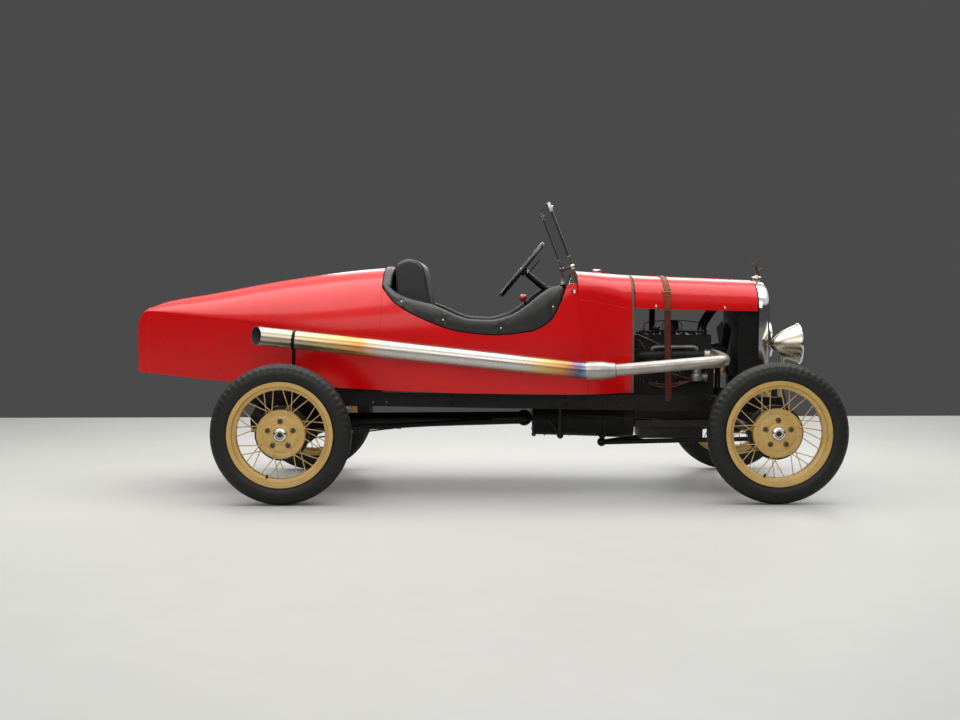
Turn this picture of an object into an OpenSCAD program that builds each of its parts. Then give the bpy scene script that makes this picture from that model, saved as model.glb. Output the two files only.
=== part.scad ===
// Boat-tailed two-seat speedster on a light ladder frame, late 1920s.
// +X is forward, +Y is the car's left, +Z is up, and the tyres stand on Z = 0.
// The modules are drawn with X = 0 midway between the axles; placed() moves them so that
// X = 0 is the middle of the overall length.

/* [Running gear] */
// Distance between the axles
wheelbase = 2629; // [2450:1:3200]
// Distance between the wheel planes of one axle
track = 1422; // [1340:1:1560]
// Outside diameter of the tyre
tyre_d = 750; // [700:1:800]
// Width of the tyre
tyre_w = 115; // [100:1:125]
// Diameter of the rim where the bead sits
rim_seat_d = 528; // [500:1:560]
// Outside diameter of the rim flanges
rim_flange_d = 562; // [540:1:600]
// Width between the rim flanges
rim_w = 92; // [80:1:96]
// Diameter of the rim's well, where the spokes end
rim_well_d = 472; // [440:1:490]
// Thickness of the rolled rim
rim_t = 6; // [4:0.5:8]
// Diameter of the wheel's pressed hub shell
hub_d = 261; // [200:1:280]
// Diameter of the bright hub cap
hub_cap_d = 76; // [60:1:90]
// Circle of the wheel nuts
nut_circle_d = 139.7; // [120:0.1:160]
// Number of wheel nuts
nut_count = 5; // [4:1:6]
// Number of wire spokes in a wheel
spoke_count = 30; // [20:2:40]
// Diameter of a spoke
spoke_d = 6.4; // [5:0.1:8]
// Outside diameter of the brake drum
drum_d = 290; // [260:1:320]
// Diameter of the wheel spindles
spindle_d = 40; // [30:1:46]
// Diameter of the kingpins
kingpin_d = 24; // [18:1:28]
// From the wheel plane in to the kingpin
kingpin_inset = 125; // [122:1:140]

/* [Chassis] */
// Overall width across the frame rails
frame_w = 760; // [700:1:820]
// Depth of a rail
rail_h = 84; // [70:1:100]
// Width of a rail's flanges
rail_w = 50; // [40:1:60]
// Thickness of the rail's steel
rail_t = 6; // [4:1:8]
// Height of the rail's top midway between the axles
rail_top = 564; // [550:1:580]
// Rise of the rails towards the rear, for each millimetre
rail_rise = 0.018; // [0:0.001:0.03]
// Diameter of the running-board bolt holes in the rails
board_hole_d = 11; // [8:0.5:14]
// Spacing of the running-board bolt holes along the rail
board_hole_x = 76; // [50:1:100]
// Spacing of the running-board bolt holes up the rail
board_hole_z = 38; // [30:1:50]
// Bore for the starting handle in the front cross-member
crank_bore_d = 26; // [20:1:30]

/* [Body] */
// Thickness of the framed body walls
wall = 25; // [18:1:32]
// Thickness of the hood panels
hood_t = 8; // [5:1:10]
// How far the body sides tuck in at the sill
tuck = 18; // [0:1:30]
// Half width of the body at its widest
cockpit_half_w = 508; // [480:1:540]
// Half width of the body at the firewall
cowl_half_w = 352; // [330:1:380]
// Half width of the radiator and the hood's front
nose_half_w = 275; // [255:1:300]
// Height of the body's crown at the windscreen
crown_z = 1245; // [1230:1:1290]
// Height of the radiator shell's top
nose_z = 1186; // [1180:1:1230]
// Height of the deck behind the seat
deck_z = 1266; // [1240:1:1300]
// Overhang of the tail behind the rear axle
tail_overhang = 925; // [850:1:1000]
// Thickness of the padded coaming
pad_t = 44; // [40:1:60]

/* [Fittings] */
// Overall width of the windscreen
screen_w = 940; // [880:1:980]
// Height of the windscreen above its pivots
screen_h = 381; // [300:1:420]
// Lean of the windscreen
screen_lean = 20.6; // [0:0.1:25]
// Diameter of the windscreen's frame
screen_tube_d = 14; // [10:1:18]
// Diameter of a headlamp
lamp_d = 226; // [200:1:240]
// Distance between the headlamps
lamp_spread = 760; // [720:1:800]
// Diameter of the steering wheel
steer_wheel_d = 416; // [380:1:430]
// Diameter of the steering wheel's rim
steer_rim_d = 26; // [20:1:30]
// How far the steering wheel sits left of the middle
steer_y = 250; // [235:1:260]
// Length of the drag link's arms
drag_arm = 120; // [100:1:124]
// Length of the tie rod's arms
tie_arm = 120; // [100:1:140]
// Diameter of the exhaust pipe
pipe_d = 66; // [50:1:70]
// Diameter of the megaphone's mouth
mouth_d = 102; // [92:1:110]
// Width of the hood strap
strap_w = 36; // [25:1:45]
// Thickness of the hood strap
strap_t = 4; // [3:0.5:6]

/* [Hidden] */
$fn = 64;

// Running gaps: on pins and spindles, between flat neighbours, and round what swings.
run_gap = 0.3;
seat_gap = 0.5;
swing_gap = 6;

// Axles
front_x = wheelbase/2;
rear_x = -wheelbase/2;
wheel_y = track/2;
hub_z = tyre_d/2;
tyre_r = tyre_d/2;
seat_r = rim_seat_d/2;
flange_r = rim_flange_d/2;
well_r = rim_well_d/2;
hub_r = hub_d/2;
drum_r = drum_d/2;
spindle_r = spindle_d/2;
kingpin_r = kingpin_d/2;
kingpin_y = wheel_y - kingpin_inset;

// Depths along a wheel's own axis; positive is outboard of the wheel plane.
hub_face = 10;
drum_web = -38;
drum_open = -84;
plate_out = -90;
plate_in = -96;
spindle_end = 28;

// Stations along the body
tail_x = rear_x - tail_overhang;
tail_start = tail_x + 90;
seat_x = rear_x + 515;
dash_x = front_x - 1038;
fire_x = front_x - 730;
hood_rear = fire_x + 17;
shell_x = front_x - 12;
shell_front = front_x + 54;
hood_front = shell_x - swing_gap;
fire_t = 12;

// A smooth curve through points [x, value], level where it turns
function seg(p, x, i = 0) = i >= len(p) - 2 || x <= p[i+1][0] ? i : seg(p, x, i + 1);
function rise(p, i) = (p[i+1][1] - p[i][1])/(p[i+1][0] - p[i][0]);
function tilt(p, i) = i == 0 ? rise(p, 0) : i == len(p) - 1 ? rise(p, i - 1)
    : let (a = rise(p, i - 1), b = rise(p, i)) a*b <= 0 ? 0 : 2*a*b/(a + b);
function curve(p, x) = let (i = seg(p, x), h = p[i+1][0] - p[i][0],
    t = min(1, max(0, (x - p[i][0])/h)))
    (2*t^3 - 3*t^2 + 1)*p[i][1] + (t^3 - 2*t^2 + t)*h*tilt(p, i)
    + (3*t^2 - 2*t^3)*p[i+1][1] + (t^3 - t^2)*h*tilt(p, i + 1);

// The body's lines, each as [station, value]: crown, shoulder, half width, sill and the
// squareness of the arch over the shoulder.
crown_line = [[tail_start, 1045], [rear_x - 766, 1071], [rear_x - 500, 1118],
    [rear_x + 11, 1208], [rear_x + 463, deck_z - 5], [rear_x + 570, deck_z],
    [dash_x - 34, crown_z], [fire_x, crown_z - 24], [shell_front, nose_z]];
shoulder_line = [[tail_start, 1022], [rear_x - 500, 989], [rear_x - 186, 957],
    [rear_x + 57, 924], [rear_x + 414, 892], [rear_x + 900, 882], [front_x - 1330, 905],
    [dash_x, 1083], [fire_x, 1035], [shell_front, 1012]];
width_line = [[tail_start, 100], [rear_x - 500, 225], [rear_x - 186, 315],
    [rear_x + 57, 385], [rear_x + 414, cockpit_half_w - 42],
    [rear_x + 650, cockpit_half_w - 8], [front_x - 1400, cockpit_half_w],
    [dash_x - 34, cockpit_half_w - 30], [fire_x, cowl_half_w], [shell_front, nose_half_w]];
sill_line = [[tail_start, 664], [rear_x - 371, 627], [rear_x + 325, 598],
    [front_x - 1572, 573], [fire_x, 561]];
square_line = [[tail_start, 1.45], [rear_x + 57, 1.8], [rear_x + 570, 2.2],
    [front_x - 1400, 3], [dash_x, 3.6], [fire_x, 2.9], [shell_front, 2.5]];
function crown(x) = curve(crown_line, x);
function shoulder(x) = curve(shoulder_line, x);
function half_w(x) = curve(width_line, x);
function sill(x) = curve(sill_line, x);
function square_n(x) = curve(square_line, x);

// Lower and upper edges of the padded coaming along the cockpit side
rim_line = [[seat_x, 1150], [rear_x + 588, 1066], [rear_x + 729, 984],
    [rear_x + 948, 908], [front_x - 1490, 890], [front_x - 1300, 908],
    [front_x - 1191, 968], [front_x - 1136, 1060], [front_x - 1078, 1168],
    [dash_x, 1172]];
pad_line = [[seat_x, 1190], [rear_x + 620, 1112], [rear_x + 803, 1054],
    [rear_x + 1011, 977], [front_x - 1518, 973], [front_x - 1410, 998],
    [front_x - 1325, 1048], [front_x - 1242, 1115], [front_x - 1184, 1150],
    [front_x - 1118, 1166]];
pad_front = front_x - 1118;
function rim_z(x) = curve(rim_line, x);
function pad_z(x) = curve(pad_line, x);

// Half width of the body surface at a station and height, set in by some thickness
function side_y(x, z, inset = 0) = let (w = half_w(x) - inset, zs = shoulder(x),
    zt = crown(x) - inset, n = square_n(x))
    z <= zs ? w - tuck*((zs - z)/(zs - sill(x)))^2
    : w*pow(max(0, 1 - pow((z - zs)/(zt - zs), n)), 1/n);
// The arch over the shoulder from the left side at 0 to the right side at 180
function arch(x, a, inset = 0) = let (w = half_w(x) - inset, zs = shoulder(x),
    h = crown(x) - inset - zs, n = square_n(x), c = cos(a))
    [x, sign(c)*w*pow(abs(c), 2/n), zs + h*pow(abs(sin(a)), 2/n)];

function rail_z(x) = rail_top - rail_rise*x;
member_h = rail_h - 2*rail_t - 5;
function member_low(x) = rail_z(x) - rail_t - 2.5 - member_h;
// Slant of the seam between the cowl and the body side, which runs forward as it drops
seam_slant = 0.105;
function seam_x(x, z) = let (k = min(1, max(0, x/dash_x)))
    x + k*seam_slant*(shoulder(dash_x) - z);

// Steering column: its axis runs down and forward from the wheel's hub
column_angle = 39;
steer_hub = [front_x - 1322, steer_y, 1258];
column_len = 940;
box_pos = steer_hub + column_len*[cos(column_angle), 0, -sin(column_angle)];
sector_z = box_pos[2] - 8;
sector_x = box_pos[0];
pitman_y = frame_w/2 + 22;
drag_y = pitman_y + 20;
drag_z = sector_z - drag_arm;
drag_front_z = hub_z + 92;
tie_z = hub_z + 40;
boss_h = 30;
ear_h = 20;

// Engine and transmission
engine_rear = front_x - 690;
engine_front = front_x - 240;
engine_w = 290;
block_z = 385;
deck_top = 800;
head_top = 880;
fan_z = 790;
fan_x = front_x - 158;
fan_r = 203;
fan_shaft_r = 9;
gearbox_z = 395;
gearbox_rear = front_x - 1270;
gearbox_r = 112;
lever_foot = [gearbox_rear + 70, 0, gearbox_z + gearbox_r - 30];
knob = [front_x - 1324, -20, 1092];
ball_x = front_x - 866;
ball_z = 252;

// Windscreen
pivot_x = front_x - 1068;
pivot_z = 1262;
post_y = screen_w/2 - 14;
pin_r = 6;

// Exhaust
pipe_y = -(cockpit_half_w + mouth_d/2 + 9);
header_x = front_x - 254;
elbow_x = front_x - 300;
knee_z = 747;
collar_x = front_x - 842;
collar_z = 703;
pipe_fall = (knee_z - collar_z)/(elbow_x - 10 - collar_x);

module placed() translate([-(tail_x + front_x + tyre_r)/2, 0, 0]) children();
module both_sides() { children(); mirror([0, 1, 0]) children(); }
module at_wheel(x, side) translate([x, side*wheel_y, hub_z]) rotate([-90*side, 0, 0])
    children();
// A round bar between two points, and a bar with balled bends through several
module rod(p, q, d, d2 = 0) {
    v = q - p;
    translate(p) rotate([0, acos(v[2]/norm(v)), atan2(v[1], v[0])])
        cylinder(h = norm(v), d1 = d, d2 = d2 > 0 ? d2 : d);
}
module bent_rod(points, d) {
    for (i = [0 : len(points) - 2]) rod(points[i], points[i+1], d);
    for (i = [1 : len(points) - 2]) translate(points[i]) sphere(d = 1.03*d);
}
// A closed skin over rings that run forward, each ring turning from left to top. A ring that
// goes out along one face of a wall and back along the other is closed across the wall.
module skin(rings, across = false) {
    m = len(rings[0]);
    n = len(rings);
    function end_face(first) = across
        ? [for (j = [0 : m/2 - 2]) each [[first + j, first + j + 1, first + m - 2 - j],
            [first + j, first + m - 2 - j, first + m - 1 - j]]]
        : [[for (j = [0 : m - 1]) first + j]];
    function turned(f) = [for (j = [len(f) - 1 : -1 : 0]) f[j]];
    polyhedron([for (r = rings) each r], concat(end_face(0),
        [for (i = [0 : n - 2], j = [0 : m - 1]) let (k = (j + 1)%m)
            each [[i*m + j, (i + 1)*m + j, (i + 1)*m + k],
                [i*m + j, (i + 1)*m + k, i*m + k]]],
        [for (f = end_face((n - 1)*m)) turned(f)]));
}
function stations(a, b, n) = [for (i = [0 : n]) a + (b - a)*i/n];
// A pipe swept through points; ref is a direction that the pipe never runs along
function unit(v) = v/norm(v);
function heading(p, i) = unit(p[min(i + 1, len(p) - 1)] - p[max(i - 1, 0)]);
module pipe(p, d, ref = [0, 0, 1], sides = 16) skin([for (i = [0 : len(p) - 1])
    let (t = heading(p, i), u = unit(cross(ref, t)), v = cross(t, u))
    [for (j = [0 : sides - 1]) p[i] + d/2*(cos(j*360/sides)*u + sin(j*360/sides)*v)]]);
// A corner rounded into points, as a share of each leg that meets there
function corner(a, b, c, share = 0.5, n = 5) = let (p = b + share*(a - b),
    q = b + share*(c - b)) [for (t = stations(0, 1, n)) (1 - t)^2*p + 2*t*(1 - t)*b + t^2*q];
function wall_ring(x, z0, z1, t, n = 7) = concat(
    [for (z = stations(z0, z1, n)) [seam_x(x, z), side_y(x, z), z]],
    [for (z = stations(z1, z0, n)) [seam_x(x, z), side_y(x, z, t), z]]);
function arch_ring(x, t, a0 = 0, a1 = 180, n = 20) = concat(
    [for (a = stations(a0, a1, n)) arch(x, a)],
    [for (a = stations(a1, a0, n)) arch(x, a, t)]);

// ---- wheels ----
module tyre() {
    bead = seat_r + run_gap;
    color("#1c1c1c") rotate_extrude($fn = 96) difference() {
        union() {
            translate([tyre_r - tyre_w/2, 0]) circle(d = tyre_w);
            translate([bead, -rim_w/2 + run_gap]) square([tyre_w/3, rim_w - 2*run_gap]);
        }
        translate([0, -tyre_w]) square([bead, 2*tyre_w]);
    }
}
module rim_ring() {
    half = rim_w/2;
    well = rim_w/5;
    rotate_extrude($fn = 96) polygon([[flange_r, -half - rim_t], [flange_r, -half],
        [seat_r, -half], [seat_r - rim_t, -half + 16], [well_r + rim_t, -well],
        [well_r + rim_t, well], [seat_r - rim_t, half - 16], [seat_r, half],
        [flange_r, half], [flange_r, half + rim_t], [seat_r - rim_t, half + rim_t],
        [seat_r - 2*rim_t, half - 14], [well_r, well + 3], [well_r, -well - 3],
        [seat_r - 2*rim_t, -half + 14], [seat_r - rim_t, -half - rim_t]]);
}
module spokes() {
    r0 = hub_r - 5;
    r1 = well_r + rim_t/2;
    step = 360/spoke_count;
    for (i = [0 : spoke_count - 1]) {
        outer = i%2 == 0;
        lean = i%4 < 2 ? 13 : -13;
        a = i*step;
        rod([r0*cos(a), r0*sin(a), outer ? 14 : -26],
            [r1*cos(a + lean), r1*sin(a + lean), outer ? -6 : 6], spoke_d, $fn = 16);
    }
}
module wheel() {
    color("#c9a355") {
        rim_ring();
        spokes();
        difference() {
            union() {
                translate([0, 0, hub_face - 8]) cylinder(h = 8, r = hub_r - 2);
                rotate_extrude() translate([hub_r - 8, -32]) square([8, 52]);
                translate([0, 0, drum_web]) cylinder(h = 34 - drum_web, d = hub_cap_d - 4);
                for (i = [0 : nut_count - 1]) rotate([0, 0, i*360/nut_count])
                    translate([nut_circle_d/2, 0, hub_face - 1]) cylinder(h = 13, d = 18);
            }
            translate([0, 0, drum_web - 1])
                cylinder(h = spindle_end + 2 - drum_web, r = spindle_r + run_gap);
        }
        translate([0, 0, 34]) cylinder(h = 10, d1 = hub_cap_d, d2 = hub_cap_d - 22);
        difference() {
            translate([0, 0, drum_open]) cylinder(h = drum_web + 6 - drum_open, r = drum_r);
            translate([0, 0, drum_open - 1])
                cylinder(h = drum_web - drum_open + 1, r = drum_r - 7);
            translate([0, 0, drum_open]) cylinder(h = 60, r = spindle_r + run_gap);
        }
    }
}
module tyre_front_left() at_wheel(front_x, 1) tyre();
module tyre_front_right() at_wheel(front_x, -1) tyre();
module tyre_rear_left() at_wheel(rear_x, 1) tyre();
module tyre_rear_right() at_wheel(rear_x, -1) tyre();
module wheel_front_left() at_wheel(front_x, 1) wheel();
module wheel_front_right() at_wheel(front_x, -1) wheel();
module wheel_rear_left() at_wheel(rear_x, 1) wheel();
module wheel_rear_right() at_wheel(rear_x, -1) wheel();

// ---- steering and front axle ----
module spindle_and_plate(tail) {
    translate([0, 0, plate_in]) cylinder(h = plate_out - plate_in, r = drum_r - 2);
    translate([0, 0, plate_in - tail]) cylinder(h = spindle_end - plate_in + tail,
        r = spindle_r);
}
module knuckle_ears() {
    for (z = [hub_z + boss_h + seat_gap, hub_z - boss_h - seat_gap - ear_h]) {
        translate([front_x - 20, kingpin_y, z])
            cube([40, wheel_y + plate_in + 2 - kingpin_y, ear_h]);
        translate([front_x, kingpin_y, z]) cylinder(h = ear_h, r = 21);
    }
    translate([front_x, kingpin_y, hub_z - boss_h - ear_h])
        cylinder(h = 2*(boss_h + ear_h), r = kingpin_r);
    translate([front_x - tie_arm - 16, kingpin_y - 12, tie_z - 7])
        cube([tie_arm + 10, 24, 14]);
    translate([front_x - tie_arm, kingpin_y, tie_z - 24]) cylinder(h = 22, r = 7);
}
module knuckle() {
    at_wheel(front_x, 1) spindle_and_plate(0);
    knuckle_ears();
}
module knuckle_left() color("#1b1b1b") {
    knuckle();
    z = hub_z + boss_h + ear_h;
    translate([front_x - 12, kingpin_y - drag_arm - 12, z]) cube([24, drag_arm + 24, 14]);
    translate([front_x, kingpin_y - drag_arm, z]) cylinder(h = 56, r = 5);
}
module knuckle_right() color("#1b1b1b") mirror([0, 1, 0]) knuckle();
module tie_rod() color("#1b1b1b") difference() {
    z = tie_z - 17;
    union() {
        rod([front_x - tie_arm, -kingpin_y, z], [front_x - tie_arm, kingpin_y, z], 20);
        both_sides() translate([front_x - tie_arm, kingpin_y, z - 9])
            cylinder(h = 18, r = 16);
    }
    both_sides() translate([front_x - tie_arm, kingpin_y, z - 20])
        cylinder(h = 40, r = 7 + run_gap);
}
drag_eye_r = 22;
module drag_link() color("#1b1b1b") {
    eye = [front_x, kingpin_y - drag_arm, drag_front_z];
    start = [sector_x, drag_y, drag_z];
    difference() {
        union() {
            rod(start, eye, 18);
            translate(eye - [0, 0, 10]) cylinder(h = 20, r = drag_eye_r + 6);
            translate(start - [0, 9, 0]) rotate([-90, 0, 0]) cylinder(h = 18, r = 17);
        }
        translate(eye - [0, 0, 30]) cylinder(h = 60, r = drag_eye_r);
        translate(start - [0, 12, 0]) rotate([-90, 0, 0])
            cylinder(h = 24, r = 7 + run_gap);
    }
}
module pitman_arm() color("#1b1b1b") difference() {
    union() {
        hull() for (p = [[sector_x, sector_z, 22], [sector_x, drag_z, 13]])
            translate([p[0], pitman_y - 6, p[1]]) rotate([-90, 0, 0])
                cylinder(h = 12, r = p[2], $fn = 32);
        translate([sector_x, pitman_y, drag_z]) rotate([-90, 0, 0])
            cylinder(h = 32, r = 7);
        translate([sector_x, pitman_y - 12, sector_z]) rotate([-90, 0, 0])
            cylinder(h = 20, r = 24);
    }
    translate([sector_x, pitman_y - 20, sector_z]) rotate([-90, 0, 0])
        cylinder(h = 40, r = 13 + run_gap);
}
module column_frame() translate(steer_hub) rotate([0, 90 + column_angle, 0]) children();
module steering_wheel() column_frame() {
    rim_r = steer_wheel_d/2 - steer_rim_d/2;
    color("#141414") rotate_extrude($fn = 72) translate([rim_r, 0]) circle(d = steer_rim_d);
    color("#141414") difference() {
        union() {
            for (a = [45 : 90 : 315]) rotate([0, 0, a]) translate([0, -9, 0])
                cube([rim_r, 18, 8]);
            translate([0, 0, -8]) cylinder(h = 40, r = 32);
        }
        translate([0, 0, 6]) cylinder(h = 40, r = 9 + run_gap);
    }
}
module steering_column() color("#1b1b1b") {
    column_frame() {
        translate([0, 0, 38]) cylinder(h = column_len - 38, r = 19);
        translate([0, 0, 8]) cylinder(h = 60, r = 9);
        translate([0, 0, 44]) rotate([0, 0, -90]) translate([0, 0, 0])
            rotate([90, 0, 0]) cylinder(h = 110, r = 4);
    }
    translate(box_pos) sphere(r = 52);
    translate([sector_x, box_pos[1], sector_z]) rotate([-90, 0, 0])
        cylinder(h = pitman_y + 8 - box_pos[1], r = 13);
    translate([sector_x, box_pos[1], sector_z]) rotate([-90, 0, 0])
        cylinder(h = frame_w/2 - rail_w/2 - box_pos[1], r = 26);
    foot = rail_z(sector_x);
    translate([sector_x - 36, frame_w/2 - rail_w + 4, foot + 2*seat_gap])
        cube([72, rail_w - 8, sector_z - 20 - foot]);
}
beam_z = hub_z - 52;
perch_y = kingpin_y - 150;
module front_axle() color("#1b1b1b") {
    difference() {
        union() {
            both_sides() {
                translate([front_x, kingpin_y, hub_z - boss_h]) cylinder(h = 2*boss_h, r = 20);
                hull() {
                    translate([front_x - 16, kingpin_y - 30, hub_z - 22])
                        cube([32, 20, 44]);
                    translate([front_x - 16, kingpin_y - 110, beam_z - 22])
                        cube([32, 20, 44]);
                }
                translate([front_x - 22, perch_y - 24, beam_z]) cube([44, 48, 52]);
            }
            translate([front_x - 16, -kingpin_y + 100, beam_z - 22])
                cube([32, 2*(kingpin_y - 100), 44]);
        }
        both_sides() translate([front_x, kingpin_y, hub_z - boss_h - 1])
            cylinder(h = 2*boss_h + 2, r = kingpin_r + run_gap);
        for (s = [-1, 1]) translate([front_x + s*21, 0, beam_z])
            cube([24, 2*(kingpin_y - 116), 22], center = true);
    }
}
// Transverse leaf springs, stacked leaves bent to one arc
module leaf_spring(half, sag, leaves, leaf, width) {
    r = (half^2 + sag^2)/(2*sag);
    translate([-width/2, 0, -r]) rotate([90, 0, 90]) linear_extrude(width)
        for (i = [0 : leaves - 1]) let (a = asin(half/r)*(1 - i*0.11), top = r - i*leaf)
            polygon(concat([for (b = stations(-a, a, 12)) top*[sin(b), cos(b)]],
                [for (b = stations(a, -a, 12)) (top - leaf - 0.2)*[sin(b), cos(b)]]));
}
spring_top = member_low(front_x) - seat_gap;
module front_spring() color("#1b1b1b") {
    translate([front_x, 0, spring_top]) leaf_spring(perch_y - 6, 42, 6, 7, 45);
    both_sides() for (s = [-1, 1]) translate([front_x + s*29 - 4, perch_y - 16,
        beam_z + 52 + seat_gap]) cube([8, 26, spring_top - 42 - beam_z - 52 + 6]);
    both_sides() translate([front_x - 33, perch_y - 12, beam_z + 52 + seat_gap])
        cube([66, 18, 9]);
    both_sides() translate([front_x - 33, perch_y - 10, spring_top - 46])
        rotate([0, 90, 0]) cylinder(h = 66, r = 6);
}
module front_radius_rods() color("#1b1b1b") {
    ball = [ball_x, 0, ball_z];
    both_sides() rod(ball + [12, 8, 0], [front_x - 21.6, perch_y, beam_z - 6], 30, 24);
    translate(ball) sphere(r = 26);
}

// ---- frame ----
rail_front = front_x + 100;
rail_rear = rear_x - 215;
module rail_side(inset_z, y0, y1) translate([0, y1, 0]) rotate([90, 0, 0])
    linear_extrude(y1 - y0) polygon([[rail_front, rail_z(rail_front) - inset_z],
        [rail_rear, rail_z(rail_rear) - inset_z],
        [rail_rear, rail_z(rail_rear) - rail_h + inset_z],
        [rail_front, rail_z(rail_front) - rail_h + inset_z]]);
board_x = rear_x + 500;
module frame_rails() color("#1b1b1b") both_sides() difference() {
    rail_side(0, frame_w/2 - rail_w, frame_w/2);
    rail_side(rail_t, frame_w/2 - rail_w - 1, frame_w/2 - rail_t);
    for (i = [-1, 1], j = [-1, 1])
        translate([board_x + i*board_hole_x/2, frame_w/2 - rail_t - 1,
            rail_z(board_x) - rail_h/2 + j*board_hole_z/2]) rotate([-90, 0, 0])
            cylinder(h = rail_t + 2, d = board_hole_d);
}
member_y = frame_w/2 - rail_t - seat_gap;
module cross_bar(x, w) translate([x - w/2, -member_y, member_low(x)])
    cube([w, 2*member_y, member_h]);
module crossmembers() color("#1b1b1b") {
    difference() {
        cross_bar(front_x, 90);
        translate([front_x - 60, 0, rail_z(front_x) - rail_h/2 - 4]) rotate([0, 90, 0])
            cylinder(h = 120, d = crank_bore_d);
    }
    difference() {
        cross_bar(gearbox_rear + 20, 60);
        translate([gearbox_rear - 40, 0, gearbox_z]) rotate([0, 90, 0])
            cylinder(h = 120, r = gearbox_r);
    }
    cross_bar(rear_spring_x, 80);
}

// ---- rear axle ----
banjo_r = 135;
rear_perch_y = wheel_y - 210;
module rear_axle() color("#1b1b1b") {
    for (s = [-1, 1]) at_wheel(rear_x, s) spindle_and_plate(40);
    for (s = [-1, 1]) rod([rear_x, s*40, hub_z],
        [rear_x, s*(wheel_y + plate_in - 2), hub_z], 130, 78);
    translate([rear_x, 0, hub_z]) rotate([90, 0, 0])
        cylinder(h = 130, r = banjo_r, center = true);
    rod([rear_x + 60, 0, hub_z], [gearbox_rear - 48, 0, gearbox_z], 100, 72);
    translate([gearbox_rear - 48, 0, gearbox_z]) sphere(r = 47);
    both_sides() rod([rear_x + 26, rear_perch_y + 20, hub_z - 8],
        [gearbox_rear - 240, 30, gearbox_z - 10], 26);
    both_sides() translate([rear_spring_x - 24, rear_perch_y - 30, hub_z - 8])
        cube([rear_x - rear_spring_x + 24, 36, 26]);
}
rear_spring_x = rear_x - banjo_r - 32;
rear_spring_top = member_low(rear_spring_x) - seat_gap;
module rear_spring() color("#1b1b1b") {
    translate([rear_spring_x, 0, rear_spring_top])
        leaf_spring(rear_perch_y, 62, 7, 7, 55);
    seat_z = hub_z + 18 + seat_gap;
    both_sides() translate([rear_spring_x - 30, rear_perch_y - 22, seat_z])
        cube([60, 20, rear_spring_top - 62 - seat_z]);
}

// ---- engine ----
module engine_block() color("#3a3d3c") {
    half = engine_w/2;
    translate([engine_rear, -half, block_z]) cube([engine_front - engine_rear, engine_w,
        deck_top - block_z]);
    translate([engine_rear + 12, -half + 22, deck_top])
        cube([engine_front - engine_rear - 24, engine_w - 44, head_top - deck_top]);
    translate([engine_rear, -half - 30, block_z - 30])
        cube([engine_front - engine_rear, engine_w + 60, 40]);
    translate([engine_rear + 30, -half + 10, block_z - 97])
        cube([engine_front - engine_rear - 90, engine_w - 20, 85]);
    // water pump, its bearing and the crank pulley
    translate([engine_front - 2, 0, fan_z]) rotate([0, 90, 0])
        cylinder(h = fan_x - 26 - engine_front - 8, r = 34);
    translate([engine_front, 0, fan_z]) rotate([0, 90, 0])
        cylinder(h = fan_x - engine_front - 2, r = fan_shaft_r);
    translate([engine_front - 2, 0, block_z + 60]) rotate([0, 90, 0])
        cylinder(h = 66, r = 26);
    translate([engine_front + 34, 0, block_z + 60]) rotate([0, 90, 0])
        cylinder(h = 26, r = 58);
    // distributor
    translate([engine_rear + 230, 0, head_top - 2]) cylinder(h = 30, r = 24);
    translate([engine_rear + 230, 0, head_top + 26]) cylinder(h = 44, r1 = 42, r2 = 36);
    // engine bearers down to the rails
    both_sides() translate([engine_rear + 20, half - 4, block_z + 106])
        cube([60, frame_w/2 - rail_t - seat_gap - half + 4, 26]);
}
module gearbox() color("#33312f") {
    bell_x = engine_rear - 170;
    rod([bell_x, 0, gearbox_z], [engine_rear - 50, 0, gearbox_z], 2*gearbox_r,
        2*gearbox_r + 6);
    translate([engine_rear - 62, 0, gearbox_z + 20]) rotate([0, 90, 0])
        cylinder(h = 62 - seat_gap, r = gearbox_r + 20);
    translate([ball_x, 0, ball_z + 26 + run_gap]) cylinder(h = 30, r = 16);
    rod([gearbox_rear, 0, gearbox_z], [bell_x + 14, 0, gearbox_z], 2*gearbox_r - 30,
        2*gearbox_r - 4);
    bend = lever_foot + [10, 0, 300];
    pipe(concat([lever_foot], corner(lever_foot, bend, knob), [knob]), 13, [0, 1, 0], 10);
    translate(knob) sphere(d = 44);
}
module fan() color("#2e2e2e") translate([fan_x, 0, fan_z]) rotate([0, 90, 0]) {
    difference() {
        union() {
            translate([0, 0, -24]) cylinder(h = 36, r = 30);
            for (a = [45 : 90 : 315]) rotate([0, 0, a]) rotate([0, 0, 0])
                translate([20, 0, 0]) rotate([24, 0, 0]) translate([0, -32, -2])
                    cube([fan_r - 22, 64, 4]);
        }
        translate([0, 0, -30]) cylinder(h = 32, r = fan_shaft_r + run_gap);
    }
}
module intake_pipe() color("#8f9290") {
    y = -engine_w/2 - 48;
    left = front_x - 600;
    right = front_x - 346;
    face = -engine_w/2 - seat_gap;
    bent_rod([[left, face, 735], [left, y, 735], [left, y, 812],
        [right, y, 812], [right, y, 700]], 28);
    translate([right, y, 640]) cylinder(h = 66, r = 30);
    translate([right - 34, y - 24, 618]) cube([70, 50, 46]);
    rod([right, y, 760], [right, face, 760], 34);
}
module exhaust_header() color("#5c5a56") {
    y = -engine_w/2;
    log_y = y - 98;
    for (x = [40, 150, 260, 400]) translate([engine_rear + x, y - seat_gap, 770])
        rotate([90, 0, 0]) cylinder(h = y - seat_gap - log_y, d = 40);
    rod([engine_rear + 10, log_y, 770], [header_x, log_y, 768], 52);
    start = [header_x - 60, log_y, 768];
    turn_in = [header_x + 10, log_y, 765];
    end = [elbow_x - 10, pipe_y, knee_z];
    turn_out = end + 66*[1, 0, pipe_fall];
    pipe(concat([start], corner(start, turn_in, turn_out), corner(turn_in, turn_out, end),
        [end]), pipe_d);
}
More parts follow.
